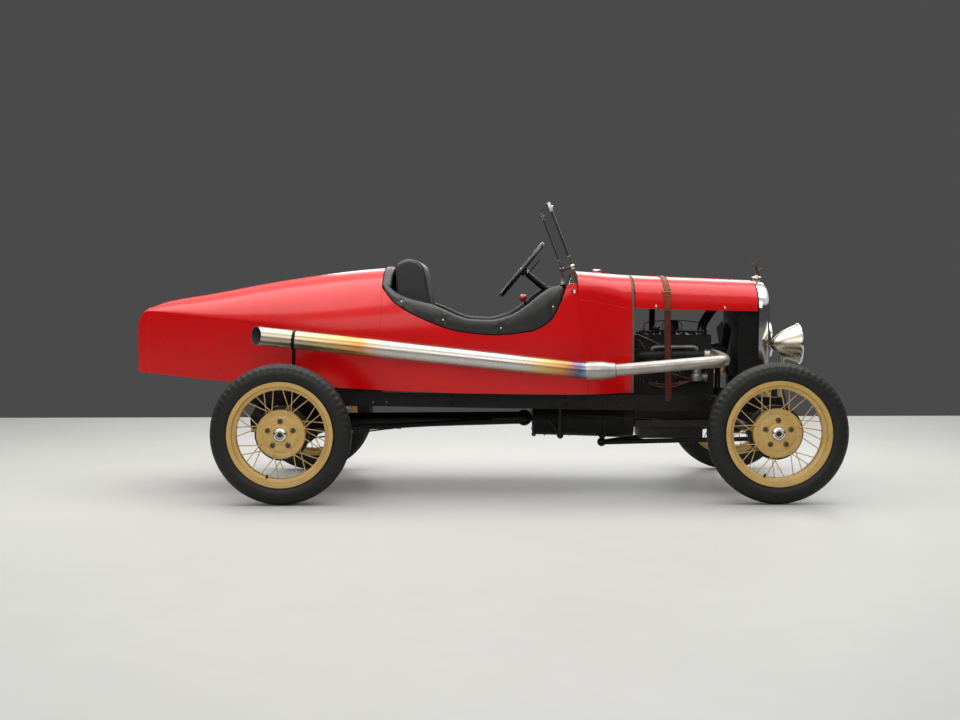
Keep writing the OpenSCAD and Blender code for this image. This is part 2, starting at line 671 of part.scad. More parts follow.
module tailpipe() color("#9a938a") {
    knee = [elbow_x - 10 - seat_gap, pipe_y, knee_z];
    collar = [collar_x, pipe_y, collar_z];
    throat = [front_x - 1004, pipe_y, 701];
    mouth = [rear_x - 150, pipe_y, 893];
    rod(collar, knee, pipe_d);
    rod(throat, collar, 100, 78);
    difference() {
        rod(mouth, throat, mouth_d, 91);
        translate(mouth) rotate([0, -8, 0]) rotate([0, 90, 0])
            translate([0, 0, -20]) cylinder(h = 400, d1 = mouth_d - 6, d2 = 60);
        translate(mouth) rotate([0, -8, 0]) rotate([0, 0, 35])
            translate([-200, -200, -200]) cube([200, 400, 400]);
    }
    // hanger from the megaphone in to the frame
    hx = rear_x + 56;
    hz = 873;
    reach = -side_y(hx + 16, hz - 10) - seat_gap - (pipe_y + 30);
    translate([hx - 16, pipe_y + 30, hz - 20]) cube([32, reach, 10]);
}

// ---- radiator ----
core_rear = front_x - 118;
core_low = 640;
shell_edge = 38;
function nose_outline(t) = let (x = shell_x, w = nose_half_w - t, zs = 1012)
    concat([[-(w - 16), core_low], [w - 16, core_low]],
    [for (a = stations(0, 180, 24)) let (c = cos(a)) [sign(c)*w*pow(abs(c), 0.8),
        zs + (nose_z - t - zs)*pow(abs(sin(a)), 0.8)]]);
module nose_slice(t, x0, x1) translate([x0, 0, 0]) rotate([90, 0, 90])
    linear_extrude(x1 - x0) polygon(nose_outline(t));
module radiator() color("#4a4a46") {
    nose_slice(shell_edge + seat_gap, core_rear, shell_front - 22);
    both_sides() translate([core_rear + 8, 120, rail_z(front_x) + seat_gap])
        cube([50, 70, core_low - rail_z(front_x)]);
    // gooseneck from the cylinder head up to the top tank
    low = [engine_front - 46, 0, head_top + seat_gap];
    mid = low + [0, 0, 60];
    high = [core_rear - 70, 0, 1072];
    end = [core_rear + 10, 0, 1078];
    pipe(concat([low], corner(low, mid, high), corner(mid, high, end), [end]), 52, [0, 1, 0]);
}
module radiator_shell() color("#d5d5d5") difference() {
    nose_slice(0, shell_x, shell_front);
    nose_slice(shell_edge, shell_x - 1, shell_front + 1);
}
cap_x = front_x + 30;
module radiator_cap() color("#b0a89a") {
    translate([cap_x, 0, nose_z + run_gap]) cylinder(h = 10, r = 20);
    translate([cap_x, 0, nose_z + 9]) cylinder(h = 16, r = 33);
    translate([cap_x, 0, nose_z + 24]) cylinder(h = 80, r1 = 14, r2 = 5);
    translate([cap_x, 0, nose_z + 108]) sphere(r = 13);
}

// ---- lamps ----
lamp_x = front_x + 188;
lamp_z = 837;
lamp_depth = 160;
module at_lamps() both_sides() translate([lamp_x, lamp_spread/2, lamp_z])
    rotate([0, 88, 0]) children();
module headlamps() color("#c9c5b8") {
    r = lamp_d/2;
    at_lamps() difference() {
        rotate_extrude() polygon(concat([[0, -lamp_depth]],
            [for (a = stations(12, 90, 10)) [(r - 4)*sin(a), -lamp_depth*cos(a) - 12]],
            [[r, -14], [r, 0], [r - 8, 0], [r - 8, -12]],
            [for (a = stations(80, 0, 8)) [(r - 12)*sin(a), -(lamp_depth - 10)*cos(a) - 12]]));
    }
    // bar across the front, with the lamps' posts
    bar_z = 668;
    both_sides() rod([lamp_x - 92, lamp_spread/2, bar_z],
        [lamp_x - 92, lamp_spread/2, lamp_z - r + 22], 26);
    rod([lamp_x - 92, -lamp_spread/2 - 10, bar_z],
        [lamp_x - 92, lamp_spread/2 + 10, bar_z], 28);
    both_sides() translate([rail_front - 24, frame_w/2 - rail_w + 4,
        rail_z(rail_front) + 2*seat_gap]) cube([24, 20, bar_z - rail_z(rail_front)]);
}
module headlamp_lenses() color("#d8e0e0") at_lamps() translate([0, 0, -11.5])
    cylinder(h = 9, r = lamp_d/2 - 8 - run_gap);

// ---- hood ----
hinge_r = 4;
hinge_start = [hood_rear, 0, crown(hood_rear) - 2];
hinge_end = [hood_front, 0, crown(hood_front) - 2];
hinge_dir = (hinge_end - hinge_start)/norm(hinge_end - hinge_start);
function hood_cut(x) = let (w = half_w(x), n = square_n(x))
    acos(pow((hinge_r + 1)/w, n/2));
module hood_half() color("#b3120f") skin([for (x = stations(hood_rear, hood_front, 4))
    arch_ring(x, hood_t, 0, hood_cut(x), 14)], true);
module hood_left() hood_half();
module hood_right() mirror([0, 1, 0]) hood_half();
module hood_hinge() color("#b3120f") rod(hinge_start - (hood_rear - fire_x - fire_t)*hinge_dir,
    hinge_end + (shell_x - hood_front)*hinge_dir, 2*hinge_r);
strap_x = front_x - 532;
// The strap's halves stop short of the hinge, so that they pass when both sides of the hood are up.
function strap_cut(x) = acos(pow((1.75*(hinge_r + seat_gap + strap_t) + 1)/half_w(x), square_n(x)/2));
function strap_ring(x, a0, a1) = concat(
    [for (a = stations(a0, a1, 14)) arch(x, a, -strap_t - seat_gap)],
    [for (a = stations(a1, a0, 14)) arch(x, a, -seat_gap)]);
module strap_half() color("#6e3f1f") skin([for (x = [strap_x - strap_w/2,
    strap_x + strap_w/2]) strap_ring(x, 0, strap_cut(x))], true);
module hood_strap_left() strap_half();
module hood_strap_right() mirror([0, 1, 0]) strap_half();
module strap_anchors() color("#6e3f1f") both_sides() {
    top = shoulder(strap_x) - swing_gap;
    y = half_w(strap_x) + seat_gap;
    foot = rail_z(strap_x) - 30;
    in = frame_w/2 + seat_gap;
    bend = rail_z(strap_x) + 6;
    translate([strap_x - strap_w/2, 0, 0]) rotate([90, 0, 90]) linear_extrude(strap_w)
        polygon([[in + strap_t, foot], [in + strap_t, bend], [y + strap_t, top], [y, top],
            [in, bend], [in, foot]]);
}

// ---- body ----
module cowl() color("#b3120f") skin([for (x = stations(dash_x, fire_x, 8))
    [for (a = stations(0, 180, 28)) arch(x, a)]]);
module cowl_sides() color("#b3120f") both_sides()
    skin([for (x = stations(dash_x, fire_x, 6)) let (top = shoulder(x) - seat_gap,
        k = (fire_x - x)/(fire_x - dash_x), t = wall)
        concat([for (z = stations(sill(x), top, 7))
            [x + k*seam_slant*(shoulder(dash_x) - z) + k*seat_gap, side_y(x, z), z]],
        [for (z = stations(top, sill(x), 7))
            [x + k*seam_slant*(shoulder(dash_x) - z) + k*seat_gap, side_y(x, z, t), z]])],
        true);
module firewall() color("#5b4636") difference() {
    skin([for (x = [fire_x + seat_gap, fire_x + fire_t]) concat(
        [[x, -side_y(fire_x, sill(fire_x)), sill(fire_x)],
            [x, side_y(fire_x, sill(fire_x)), sill(fire_x)]],
        [for (a = stations(0, 180, 28)) let (p = arch(fire_x, a)) [x, p[1], p[2]]])]);
    column_frame() cylinder(h = column_len, r = 20.5);
}
tail_stations = stations(tail_start, seat_x - 1, 18);
rim_stations = stations(seat_x, dash_x, 28);
function side_top(x) = x < seat_x ? shoulder(x) - seat_gap : rim_z(x);
module body_side() color("#b3120f") skin(concat(
    [for (x = tail_stations) wall_ring(x, sill(x), side_top(x), wall)],
    [for (x = rim_stations) wall_ring(x, sill(x), side_top(x), wall)]), true);
module body_side_left() body_side();
module body_side_right() mirror([0, 1, 0]) body_side();
// The tail's end closes in an elliptic nose of this length, upright below this height
end_len = tail_start - tail_x;
end_z = 860;
end_k = 0.96;
function end_ring(k) = let (c = sqrt(1 - k^2), w = half_w(tail_start)*c,
    zs = end_z + (shoulder(tail_start) - end_z)*c,
    rise = (crown(tail_start) - shoulder(tail_start))*c, z0 = sill(tail_start) + 6*k,
    n = square_n(tail_start), x = tail_start - end_len*k/end_k)
    concat([[x, -w*0.82, z0], [x, w*0.82, z0]],
    [for (a = stations(0, 180, 20)) [x, sign(cos(a))*w*pow(abs(cos(a)), 2/n),
        zs + rise*pow(abs(sin(a)), 2/n)]]);
module tail_deck() color("#b3120f") {
    skin([for (x = tail_stations) arch_ring(x, wall*0.7, 1, 179, 20)], true);
    skin([for (k = [end_k, 0.88, 0.75, 0.58, 0.38, 0.18, 0.005]) end_ring(k)]);
}
floor_t = 18;
module floor_panel(a, b, n, lift) skin([for (x = stations(a, b, n))
    let (z = lift ? sill(x) : rail_z(x), low = side_y(x, z, wall) - seat_gap,
        high = side_y(x, z + floor_t, wall) - seat_gap)
    [[x, low, z], [x, high, z + floor_t], [x, -high, z + floor_t], [x, -low, z]]]);
module floor() color("#6a5238") {
    difference() {
        floor_panel(seat_x + 1, fire_x - seat_gap, 14, false);
        translate(lever_foot) cylinder(h = 200, r = 30);
    }
    floor_panel(tail_start + 1, seat_x - 1, 12, true);
}

// ---- trim ----
seat_front = rear_x + 1160;
seat_face = rear_x + 790;
module seat_cushion() color("#1d1c1b") {
    z = rail_z(seat_face) + floor_t + seat_gap;
    translate([seat_face + 8 + seat_gap, -cockpit_half_w + wall + 45, z])
        cube([seat_front - seat_face, 2*(cockpit_half_w - wall - 45), 190]);
}
module seat_back() color("#1d1c1b") {
    w = cockpit_half_w - wall - 130;
    z = rail_z(rear_x + 585) + floor_t + seat_gap;
    translate([0, w, 0]) rotate([90, 0, 0]) linear_extrude(2*w)
        polygon([[seat_face + 8, z], [seat_face + 8, z + 200], [rear_x + 790, 1050],
            [rear_x + 746, 1264], [rear_x + 700, 1303], [rear_x + 655, 1312],
            [rear_x + 590, 1280], [rear_x + 585, z]]);
}
function pad_ring(x) = let (z0 = rim_z(x) + seat_gap, z1 = pad_z(x))
    concat([for (z = stations(z0, z1, 4)) [x, side_y(x, z) + 9, z]],
    [for (z = stations(z1, z0, 4)) [x, side_y(x, z) + 9 - pad_t, z]]);
module coaming_sides() color("#171717") both_sides()
    skin([for (x = rim_stations) if (x <= pad_front) pad_ring(x)], true);
module coaming_rear() color("#171717") {
    a0 = asin(pow((pad_z(seat_x) + 16 - shoulder(seat_x))/(crown(seat_x) - shoulder(seat_x)),
        square_n(seat_x)/2));
    skin([for (x = [seat_x - seat_gap, seat_x + 54]) concat(
        [for (a = stations(a0, 180 - a0, 20)) arch(seat_x, a, -9) + [x - seat_x, 0, 0]],
        [for (a = stations(180 - a0, a0, 20)) arch(seat_x, a, pad_t - 9)
            + [x - seat_x, 0, 0]])], true);
}

// ---- windscreen ----
module screen_frame() translate([pivot_x, 0, pivot_z]) rotate([0, -screen_lean, 0])
    children();
module windscreen_posts() color("#1b1b1b") both_sides() {
    y = side_y(pivot_x, rim_z(pivot_x)) - 14;
    translate([pivot_x, 0, 0]) {
        translate([-13, y - 9, rim_z(pivot_x + 13) + seat_gap]) cube([26, 18, 20]);
        translate([-9, y - 6, rim_z(pivot_x) + 10]) cube([18, post_y + 6 - y, 14]);
        translate([-9, post_y - 6, rim_z(pivot_x) + 10])
            cube([18, 12, pivot_z - rim_z(pivot_x) - 10]);
        translate([0, post_y - 6, pivot_z]) rotate([-90, 0, 0]) cylinder(h = 12, r = 13);
        translate([0, post_y - 24, pivot_z]) rotate([-90, 0, 0]) cylinder(h = 20, r = pin_r);
    }
}
module windscreen_frame() color("#1b1b1b") screen_frame() {
    r = screen_tube_d/2;
    y = post_y - 6 - 5 - r;
    difference() {
        union() {
            for (z = [0, screen_h - r]) translate([0, 0, z]) rotate([90, 0, 0])
                cylinder(h = 2*y, r = r, center = true);
            both_sides() translate([0, y, 0]) cylinder(h = screen_h - r, r = r);
            both_sides() translate([0, y, 0]) rotate([90, 0, 0])
                cylinder(h = 2*r, r = 12, center = true);
            both_sides() translate([0, y, screen_h - r]) sphere(r = r);
        }
        both_sides() translate([0, y - 12, 0]) rotate([-90, 0, 0])
            cylinder(h = 40, r = pin_r + run_gap);
        translate([-4, -y, 0]) cube([8, 2*y, screen_h - r]);
    }
}
module windscreen_glass() color("#c9d6d6") screen_frame() {
    r = screen_tube_d/2;
    y = post_y - 6 - 5 - r - 14;
    translate([-3, -y, 13]) cube([6, 2*y, screen_h - r - 13 - 1]);
}
module fuel_cap() color("#d5d5d5") {
    x = front_x - 896;
    translate([x, 0, crown(x - 24) + run_gap]) cylinder(h = 8, r = 24);
    translate([x, 0, crown(x) + 8]) cylinder(h = 14, r = 28);
}

placed() tyre_front_left();
placed() tyre_front_right();
placed() tyre_rear_left();
placed() tyre_rear_right();
placed() wheel_front_left();
placed() wheel_front_right();
placed() wheel_rear_left();
placed() wheel_rear_right();
placed() knuckle_left();
placed() knuckle_right();
placed() tie_rod();
placed() drag_link();
placed() pitman_arm();
placed() steering_wheel();
placed() steering_column();
placed() front_axle();
placed() front_spring();
placed() front_radius_rods();
placed() frame_rails();
placed() crossmembers();
placed() rear_axle();
placed() rear_spring();
placed() engine_block();
placed() gearbox();
placed() fan();
placed() intake_pipe();
placed() exhaust_header();
placed() tailpipe();
placed() radiator();
placed() radiator_shell();
placed() radiator_cap();
placed() headlamps();
placed() headlamp_lenses();
placed() hood_left();
placed() hood_right();
placed() hood_hinge();
placed() cowl();
placed() cowl_sides();
placed() firewall();
placed() body_side_left();
placed() body_side_right();
placed() tail_deck();
placed() floor();
placed() seat_cushion();
placed() seat_back();
placed() coaming_sides();
placed() coaming_rear();
placed() windscreen_posts();
placed() windscreen_frame();
placed() windscreen_glass();
placed() fuel_cap();
placed() hood_strap_left();
placed() hood_strap_right();
placed() strap_anchors();
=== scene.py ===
import bpy
import bmesh
import math
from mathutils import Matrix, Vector


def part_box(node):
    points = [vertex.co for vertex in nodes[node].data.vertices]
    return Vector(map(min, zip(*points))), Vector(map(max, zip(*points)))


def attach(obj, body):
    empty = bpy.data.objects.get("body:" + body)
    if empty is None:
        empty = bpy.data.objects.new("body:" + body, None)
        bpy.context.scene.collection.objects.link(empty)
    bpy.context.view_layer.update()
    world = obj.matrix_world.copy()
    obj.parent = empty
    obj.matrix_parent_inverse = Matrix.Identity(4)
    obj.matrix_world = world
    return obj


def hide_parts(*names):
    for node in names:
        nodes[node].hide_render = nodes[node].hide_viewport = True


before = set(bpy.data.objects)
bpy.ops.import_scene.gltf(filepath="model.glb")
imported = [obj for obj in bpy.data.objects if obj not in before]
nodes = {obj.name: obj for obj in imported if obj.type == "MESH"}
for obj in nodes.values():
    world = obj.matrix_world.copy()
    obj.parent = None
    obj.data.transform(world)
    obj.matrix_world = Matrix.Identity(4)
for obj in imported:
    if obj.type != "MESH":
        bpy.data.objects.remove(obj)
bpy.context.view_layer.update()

print("frame loaded with", len(nodes), "parts")


# measuring from the frame; shapes are drawn in millimetres from midway between the axles
def middle(node):
    low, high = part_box(node)
    return (low + high) / 2


wheelFront = middle("tyre_front_left")
wheelRear = middle("tyre_rear_left")
midX = (wheelFront.x + wheelRear.x) / 2
frontX = (wheelFront.x - midX) * 1000
rearX = -frontX
hubZ = wheelFront.z * 1000
wheelY = wheelFront.y * 1000


def toRow(p):
    return (p[0] / 1000 + midX, p[1] / 1000, p[2] / 1000)


def spread(a, b, count):
    return [a + (b - a) * i / count for i in range(count + 1)]


def mixed(a, b, t):
    return tuple(u + (v - u) * t for u, v in zip(a, b))


# camera
cameraSpec = {"place": (0.0165, -7.710, 1.117), "down": 0.050, "roll": 0.0022, "lens": 49.8}
cameraData = bpy.data.cameras.new("studioCamera")
cameraData.lens = cameraSpec["lens"]
cameraData.sensor_width = 36
studioCamera = bpy.data.objects.new("studioCamera", cameraData)
bpy.context.scene.collection.objects.link(studioCamera)
studioCamera.location = cameraSpec["place"]
studioCamera.rotation_euler = (math.pi / 2 - cameraSpec["down"], cameraSpec["roll"], 0)
bpy.context.scene.camera = studioCamera


# shader node groups shared by several finishes
def newGroup(name, inputs, outputs):
    group = bpy.data.node_groups.new(name, "ShaderNodeTree")
    for label, kind, value in inputs:
        socket = group.interface.new_socket(name=label, in_out="INPUT", socket_type=kind)
        if value is not None:
            socket.default_value = value
    for label, kind in outputs:
        group.interface.new_socket(name=label, in_out="OUTPUT", socket_type=kind)
    return group, group.nodes.new("NodeGroupInput"), group.nodes.new("NodeGroupOutput")


def mathNode(tree, operation, first, second, clamp=False):
    node = tree.nodes.new("ShaderNodeMath")
    node.operation = operation
    node.use_clamp = clamp
    for socket, value in zip(node.inputs, (first, second)):
        if isinstance(value, (int, float)):
            socket.default_value = value
        else:
            tree.links.new(value, socket)
    return node.outputs[0]


def noiseNode(tree, vector, scale, detail):
    node = tree.nodes.new("ShaderNodeTexNoise")
    node.inputs["Detail"].default_value = detail
    tree.links.new(vector, node.inputs["Vector"])
    if isinstance(scale, (int, float)):
        node.inputs["Scale"].default_value = scale
    else:
        tree.links.new(scale, node.inputs["Scale"])
    return node.outputs["Fac"]


def buildToneDrift():
    group, given, result = newGroup(
        "toneDrift",
        [("Vector", "NodeSocketVector", None), ("Scale", "NodeSocketFloat", 8.0)],
        [("Tone", "NodeSocketFloat")])
    broad = noiseNode(group, given.outputs["Vector"], given.outputs["Scale"], 3)
    closeScale = mathNode(group, "MULTIPLY", given.outputs["Scale"], 9.0)
    close = noiseNode(group, given.outputs["Vector"], closeScale, 4)
    total = mathNode(group, "ADD", mathNode(group, "MULTIPLY", broad, 0.7),
                     mathNode(group, "MULTIPLY", close, 0.3))
    stretched = mathNode(group, "MULTIPLY", mathNode(group, "SUBTRACT", total, 0.33), 3.0, True)
    group.links.new(stretched, result.inputs["Tone"])
    return group


def buildRubbedEdges():
    group, given, result = newGroup(
        "rubbedEdges",
        [("Vector", "NodeSocketVector", None), ("Scale", "NodeSocketFloat", 40.0),
         ("Reach", "NodeSocketFloat", 0.5)],
        [("Mask", "NodeSocketFloat")])
    shape = group.nodes.new("ShaderNodeNewGeometry")
    ridge = mathNode(group, "MULTIPLY", mathNode(group, "SUBTRACT", shape.outputs["Pointiness"], 0.53), 9.0,
                     True)
    patch = noiseNode(group, given.outputs["Vector"], given.outputs["Scale"], 4)
    broken = mathNode(group, "MULTIPLY", ridge, mathNode(group, "MULTIPLY", patch, 2.0))
    group.links.new(mathNode(group, "MULTIPLY", broken, given.outputs["Reach"], True), result.inputs["Mask"])
    return group


def buildSettledDust():
    group, given, result = newGroup(
        "settledDust",
        [("Vector", "NodeSocketVector", None), ("Amount", "NodeSocketFloat", 0.2)],
        [("Mask", "NodeSocketFloat")])
    shape = group.nodes.new("ShaderNodeNewGeometry")
    facing = group.nodes.new("ShaderNodeSeparateXYZ")
    group.links.new(shape.outputs["Normal"], facing.inputs[0])
    upward = mathNode(group, "MAXIMUM", facing.outputs["Z"], 0.15)
    patch = noiseNode(group, given.outputs["Vector"], 22.0, 5)
    both = mathNode(group, "MULTIPLY", upward, patch)
    group.links.new(mathNode(group, "MULTIPLY", both, given.outputs["Amount"], True), result.inputs["Mask"])
    return group


def buildFineGrain():
    group, given, result = newGroup(
        "fineGrain",
        [("Vector", "NodeSocketVector", None), ("Scale", "NodeSocketFloat", 300.0)],
        [("Height", "NodeSocketFloat")])
    fine = noiseNode(group, given.outputs["Vector"], given.outputs["Scale"], 3)
    slow = noiseNode(group, given.outputs["Vector"],
                     mathNode(group, "MULTIPLY", given.outputs["Scale"], 0.12), 2)
    total = mathNode(group, "ADD", fine, mathNode(group, "MULTIPLY", slow, 0.8))
    group.links.new(total, result.inputs["Height"])
    return group


def buildHideGrain():
    group, given, result = newGroup(
        "hideGrain",
        [("Vector", "NodeSocketVector", None), ("Scale", "NodeSocketFloat", 380.0)],
        [("Height", "NodeSocketFloat"), ("Tone", "NodeSocketFloat")])
    cells = group.nodes.new("ShaderNodeTexVoronoi")
    cells.feature = "DISTANCE_TO_EDGE"
    group.links.new(given.outputs["Vector"], cells.inputs["Vector"])
    group.links.new(given.outputs["Scale"], cells.inputs["Scale"])
    pebble = mathNode(group, "MULTIPLY", cells.outputs["Distance"], 3.0, True)
    crease = noiseNode(group, given.outputs["Vector"], 24.0, 6)
    total = mathNode(group, "ADD", pebble, mathNode(group, "MULTIPLY", crease, 1.6))
    group.links.new(total, result.inputs["Height"])
    group.links.new(mathNode(group, "MULTIPLY", crease, pebble), result.inputs["Tone"])
    return group


effects = {
    "toneDrift": buildToneDrift(),
    "rubbedEdges": buildRubbedEdges(),
    "settledDust": buildSettledDust(),
    "fineGrain": buildFineGrain(),
    "hideGrain": buildHideGrain(),
}
print("node groups built")


# finishes
def place(tree, effect, vector, **values):
    node = tree.nodes.new("ShaderNodeGroup")
    node.node_tree = effects[effect]
    tree.links.new(vector, node.inputs["Vector"])
    for label, value in values.items():
        node.inputs[label].default_value = value
    return node


def colourMix(tree, factor, first, second):
    node = tree.nodes.new("ShaderNodeMix")
    node.data_type = "RGBA"
    tree.links.new(factor, node.inputs["Factor"])
    for socket, value in ((node.inputs["A"], first), (node.inputs["B"], second)):
        if isinstance(value, tuple):
            socket.default_value = (*value, 1)
        else:
            tree.links.new(value, socket)
    return node.outputs["Result"]


def valueMap(tree, value, low, high):
    node = tree.nodes.new("ShaderNodeMapRange")
    node.inputs["To Min"].default_value = low
    node.inputs["To Max"].default_value = high
    tree.links.new(value, node.inputs["Value"])
    return node.outputs["Result"]


def linear(r, g, b):
    return tuple((c / 255 / 12.92) if c <= 10 else ((c / 255 + 0.055) / 1.055) ** 2.4 for c in (r, g, b))


def finish(name, spec):
    material = bpy.data.materials.new(name)
    material.use_nodes = True
    tree = material.node_tree
    shader = tree.nodes["Principled BSDF"]
    vector = tree.nodes.new("ShaderNodeTexCoord").outputs["Object"]
    tone = place(tree, "toneDrift", vector, Scale=spec.get("drift", 8.0)).outputs["Tone"]
    colour = colourMix(tree, tone, spec["colour"], spec["second"])
    if "tint" in spec:
        colour = spec["tint"](tree, vector, colour)
    if spec.get("wear"):
        rubbed = place(tree, "rubbedEdges", vector, Reach=spec["wear"]).outputs["Mask"]
        colour = colourMix(tree, rubbed, colour, spec["bare"])
    if spec.get("dust"):
        dust = place(tree, "settledDust", vector, Amount=spec["dust"]).outputs["Mask"]
        colour = colourMix(tree, dust, colour, linear(150, 140, 125))
    tree.links.new(colour, shader.inputs["Base Color"])
    low, high = spec["rough"]
    tree.links.new(valueMap(tree, tone, low, high), shader.inputs["Roughness"])
    grain = place(tree, spec.get("grain", "fineGrain"), vector, Scale=spec.get("grainScale", 300.0))
    bump = tree.nodes.new("ShaderNodeBump")
    bump.inputs["Strength"].default_value = spec.get("bump", 0.1)
    bump.inputs["Distance"].default_value = spec.get("bumpDepth", 0.0006)
    tree.links.new(grain.outputs["Height"], bump.inputs["Height"])
    tree.links.new(bump.outputs["Normal"], shader.inputs["Normal"])
    shader.inputs["Metallic"].default_value = spec.get("metal", 0.0)
    shader.inputs["Coat Weight"].default_value = spec.get("coat", 0.0)
    shader.inputs["Specular IOR Level"].default_value = spec.get("spec", 0.5)
    shader.inputs["Coat Roughness"].default_value = 0.04
    shader.inputs["Transmission Weight"].default_value = spec.get("clear", 0.0)
    shader.inputs["IOR"].default_value = spec.get("ior", 1.5)
    return material


def heatTint(tree, vector, colour):
    # straw, orange, violet and blue bands at both hot stretches of the big pipe
    low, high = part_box("tailpipe")
    split = tree.nodes.new("ShaderNodeSeparateXYZ")
    tree.links.new(vector, split.inputs[0])
    wander = mathNode(tree, "MULTIPLY", noiseNode(tree, vector, 14.0, 3), 0.05)
    along = mathNode(tree, "ADD", split.outputs["X"], wander)
    scaled = tree.nodes.new("ShaderNodeMapRange")
    scaled.inputs["From Min"].default_value = low.x
    scaled.inputs["From Max"].default_value = high.x
    tree.links.new(along, scaled.inputs["Value"])
    ramp = tree.nodes.new("ShaderNodeValToRGB")
    stops = [(0.0, (180, 172, 160)), (0.1, (188, 172, 142)), (0.17, (198, 166, 112)), (0.235, (204, 140, 62)),
             (0.262, (196, 170, 136)), (0.3, (190, 186, 180)), (0.57, (194, 190, 184)),
             (0.635, (204, 172, 112)), (0.68, (196, 126, 54)), (0.701, (120, 84, 96)),
             (0.715, (74, 84, 132)), (0.732, (150, 148, 144))]
    while len(ramp.color_ramp.elements) < len(stops):
        ramp.color_ramp.elements.new(0.5)
    for element, (at, shade) in zip(ramp.color_ramp.elements, stops):
        element.position = at
        element.color = (*linear(*shade), 1)
    tree.links.new(scaled.outputs["Result"], ramp.inputs["Fac"])
    patch = valueMap(tree, noiseNode(tree, vector, 30.0, 4), 0.0, 0.25)
    return colourMix(tree, patch, ramp.outputs["Color"], colour)


def plankLines(tree, vector, colour):
    bands = tree.nodes.new("ShaderNodeTexWave")
    bands.bands_direction = "Y"
    bands.inputs["Scale"].default_value = 2.2
    bands.inputs["Distortion"].default_value = 1.5
    bands.inputs["Detail"].default_value = 4
    tree.links.new(vector, bands.inputs["Vector"])
    return colourMix(tree, bands.outputs["Fac"], colour, linear(70, 48, 30))


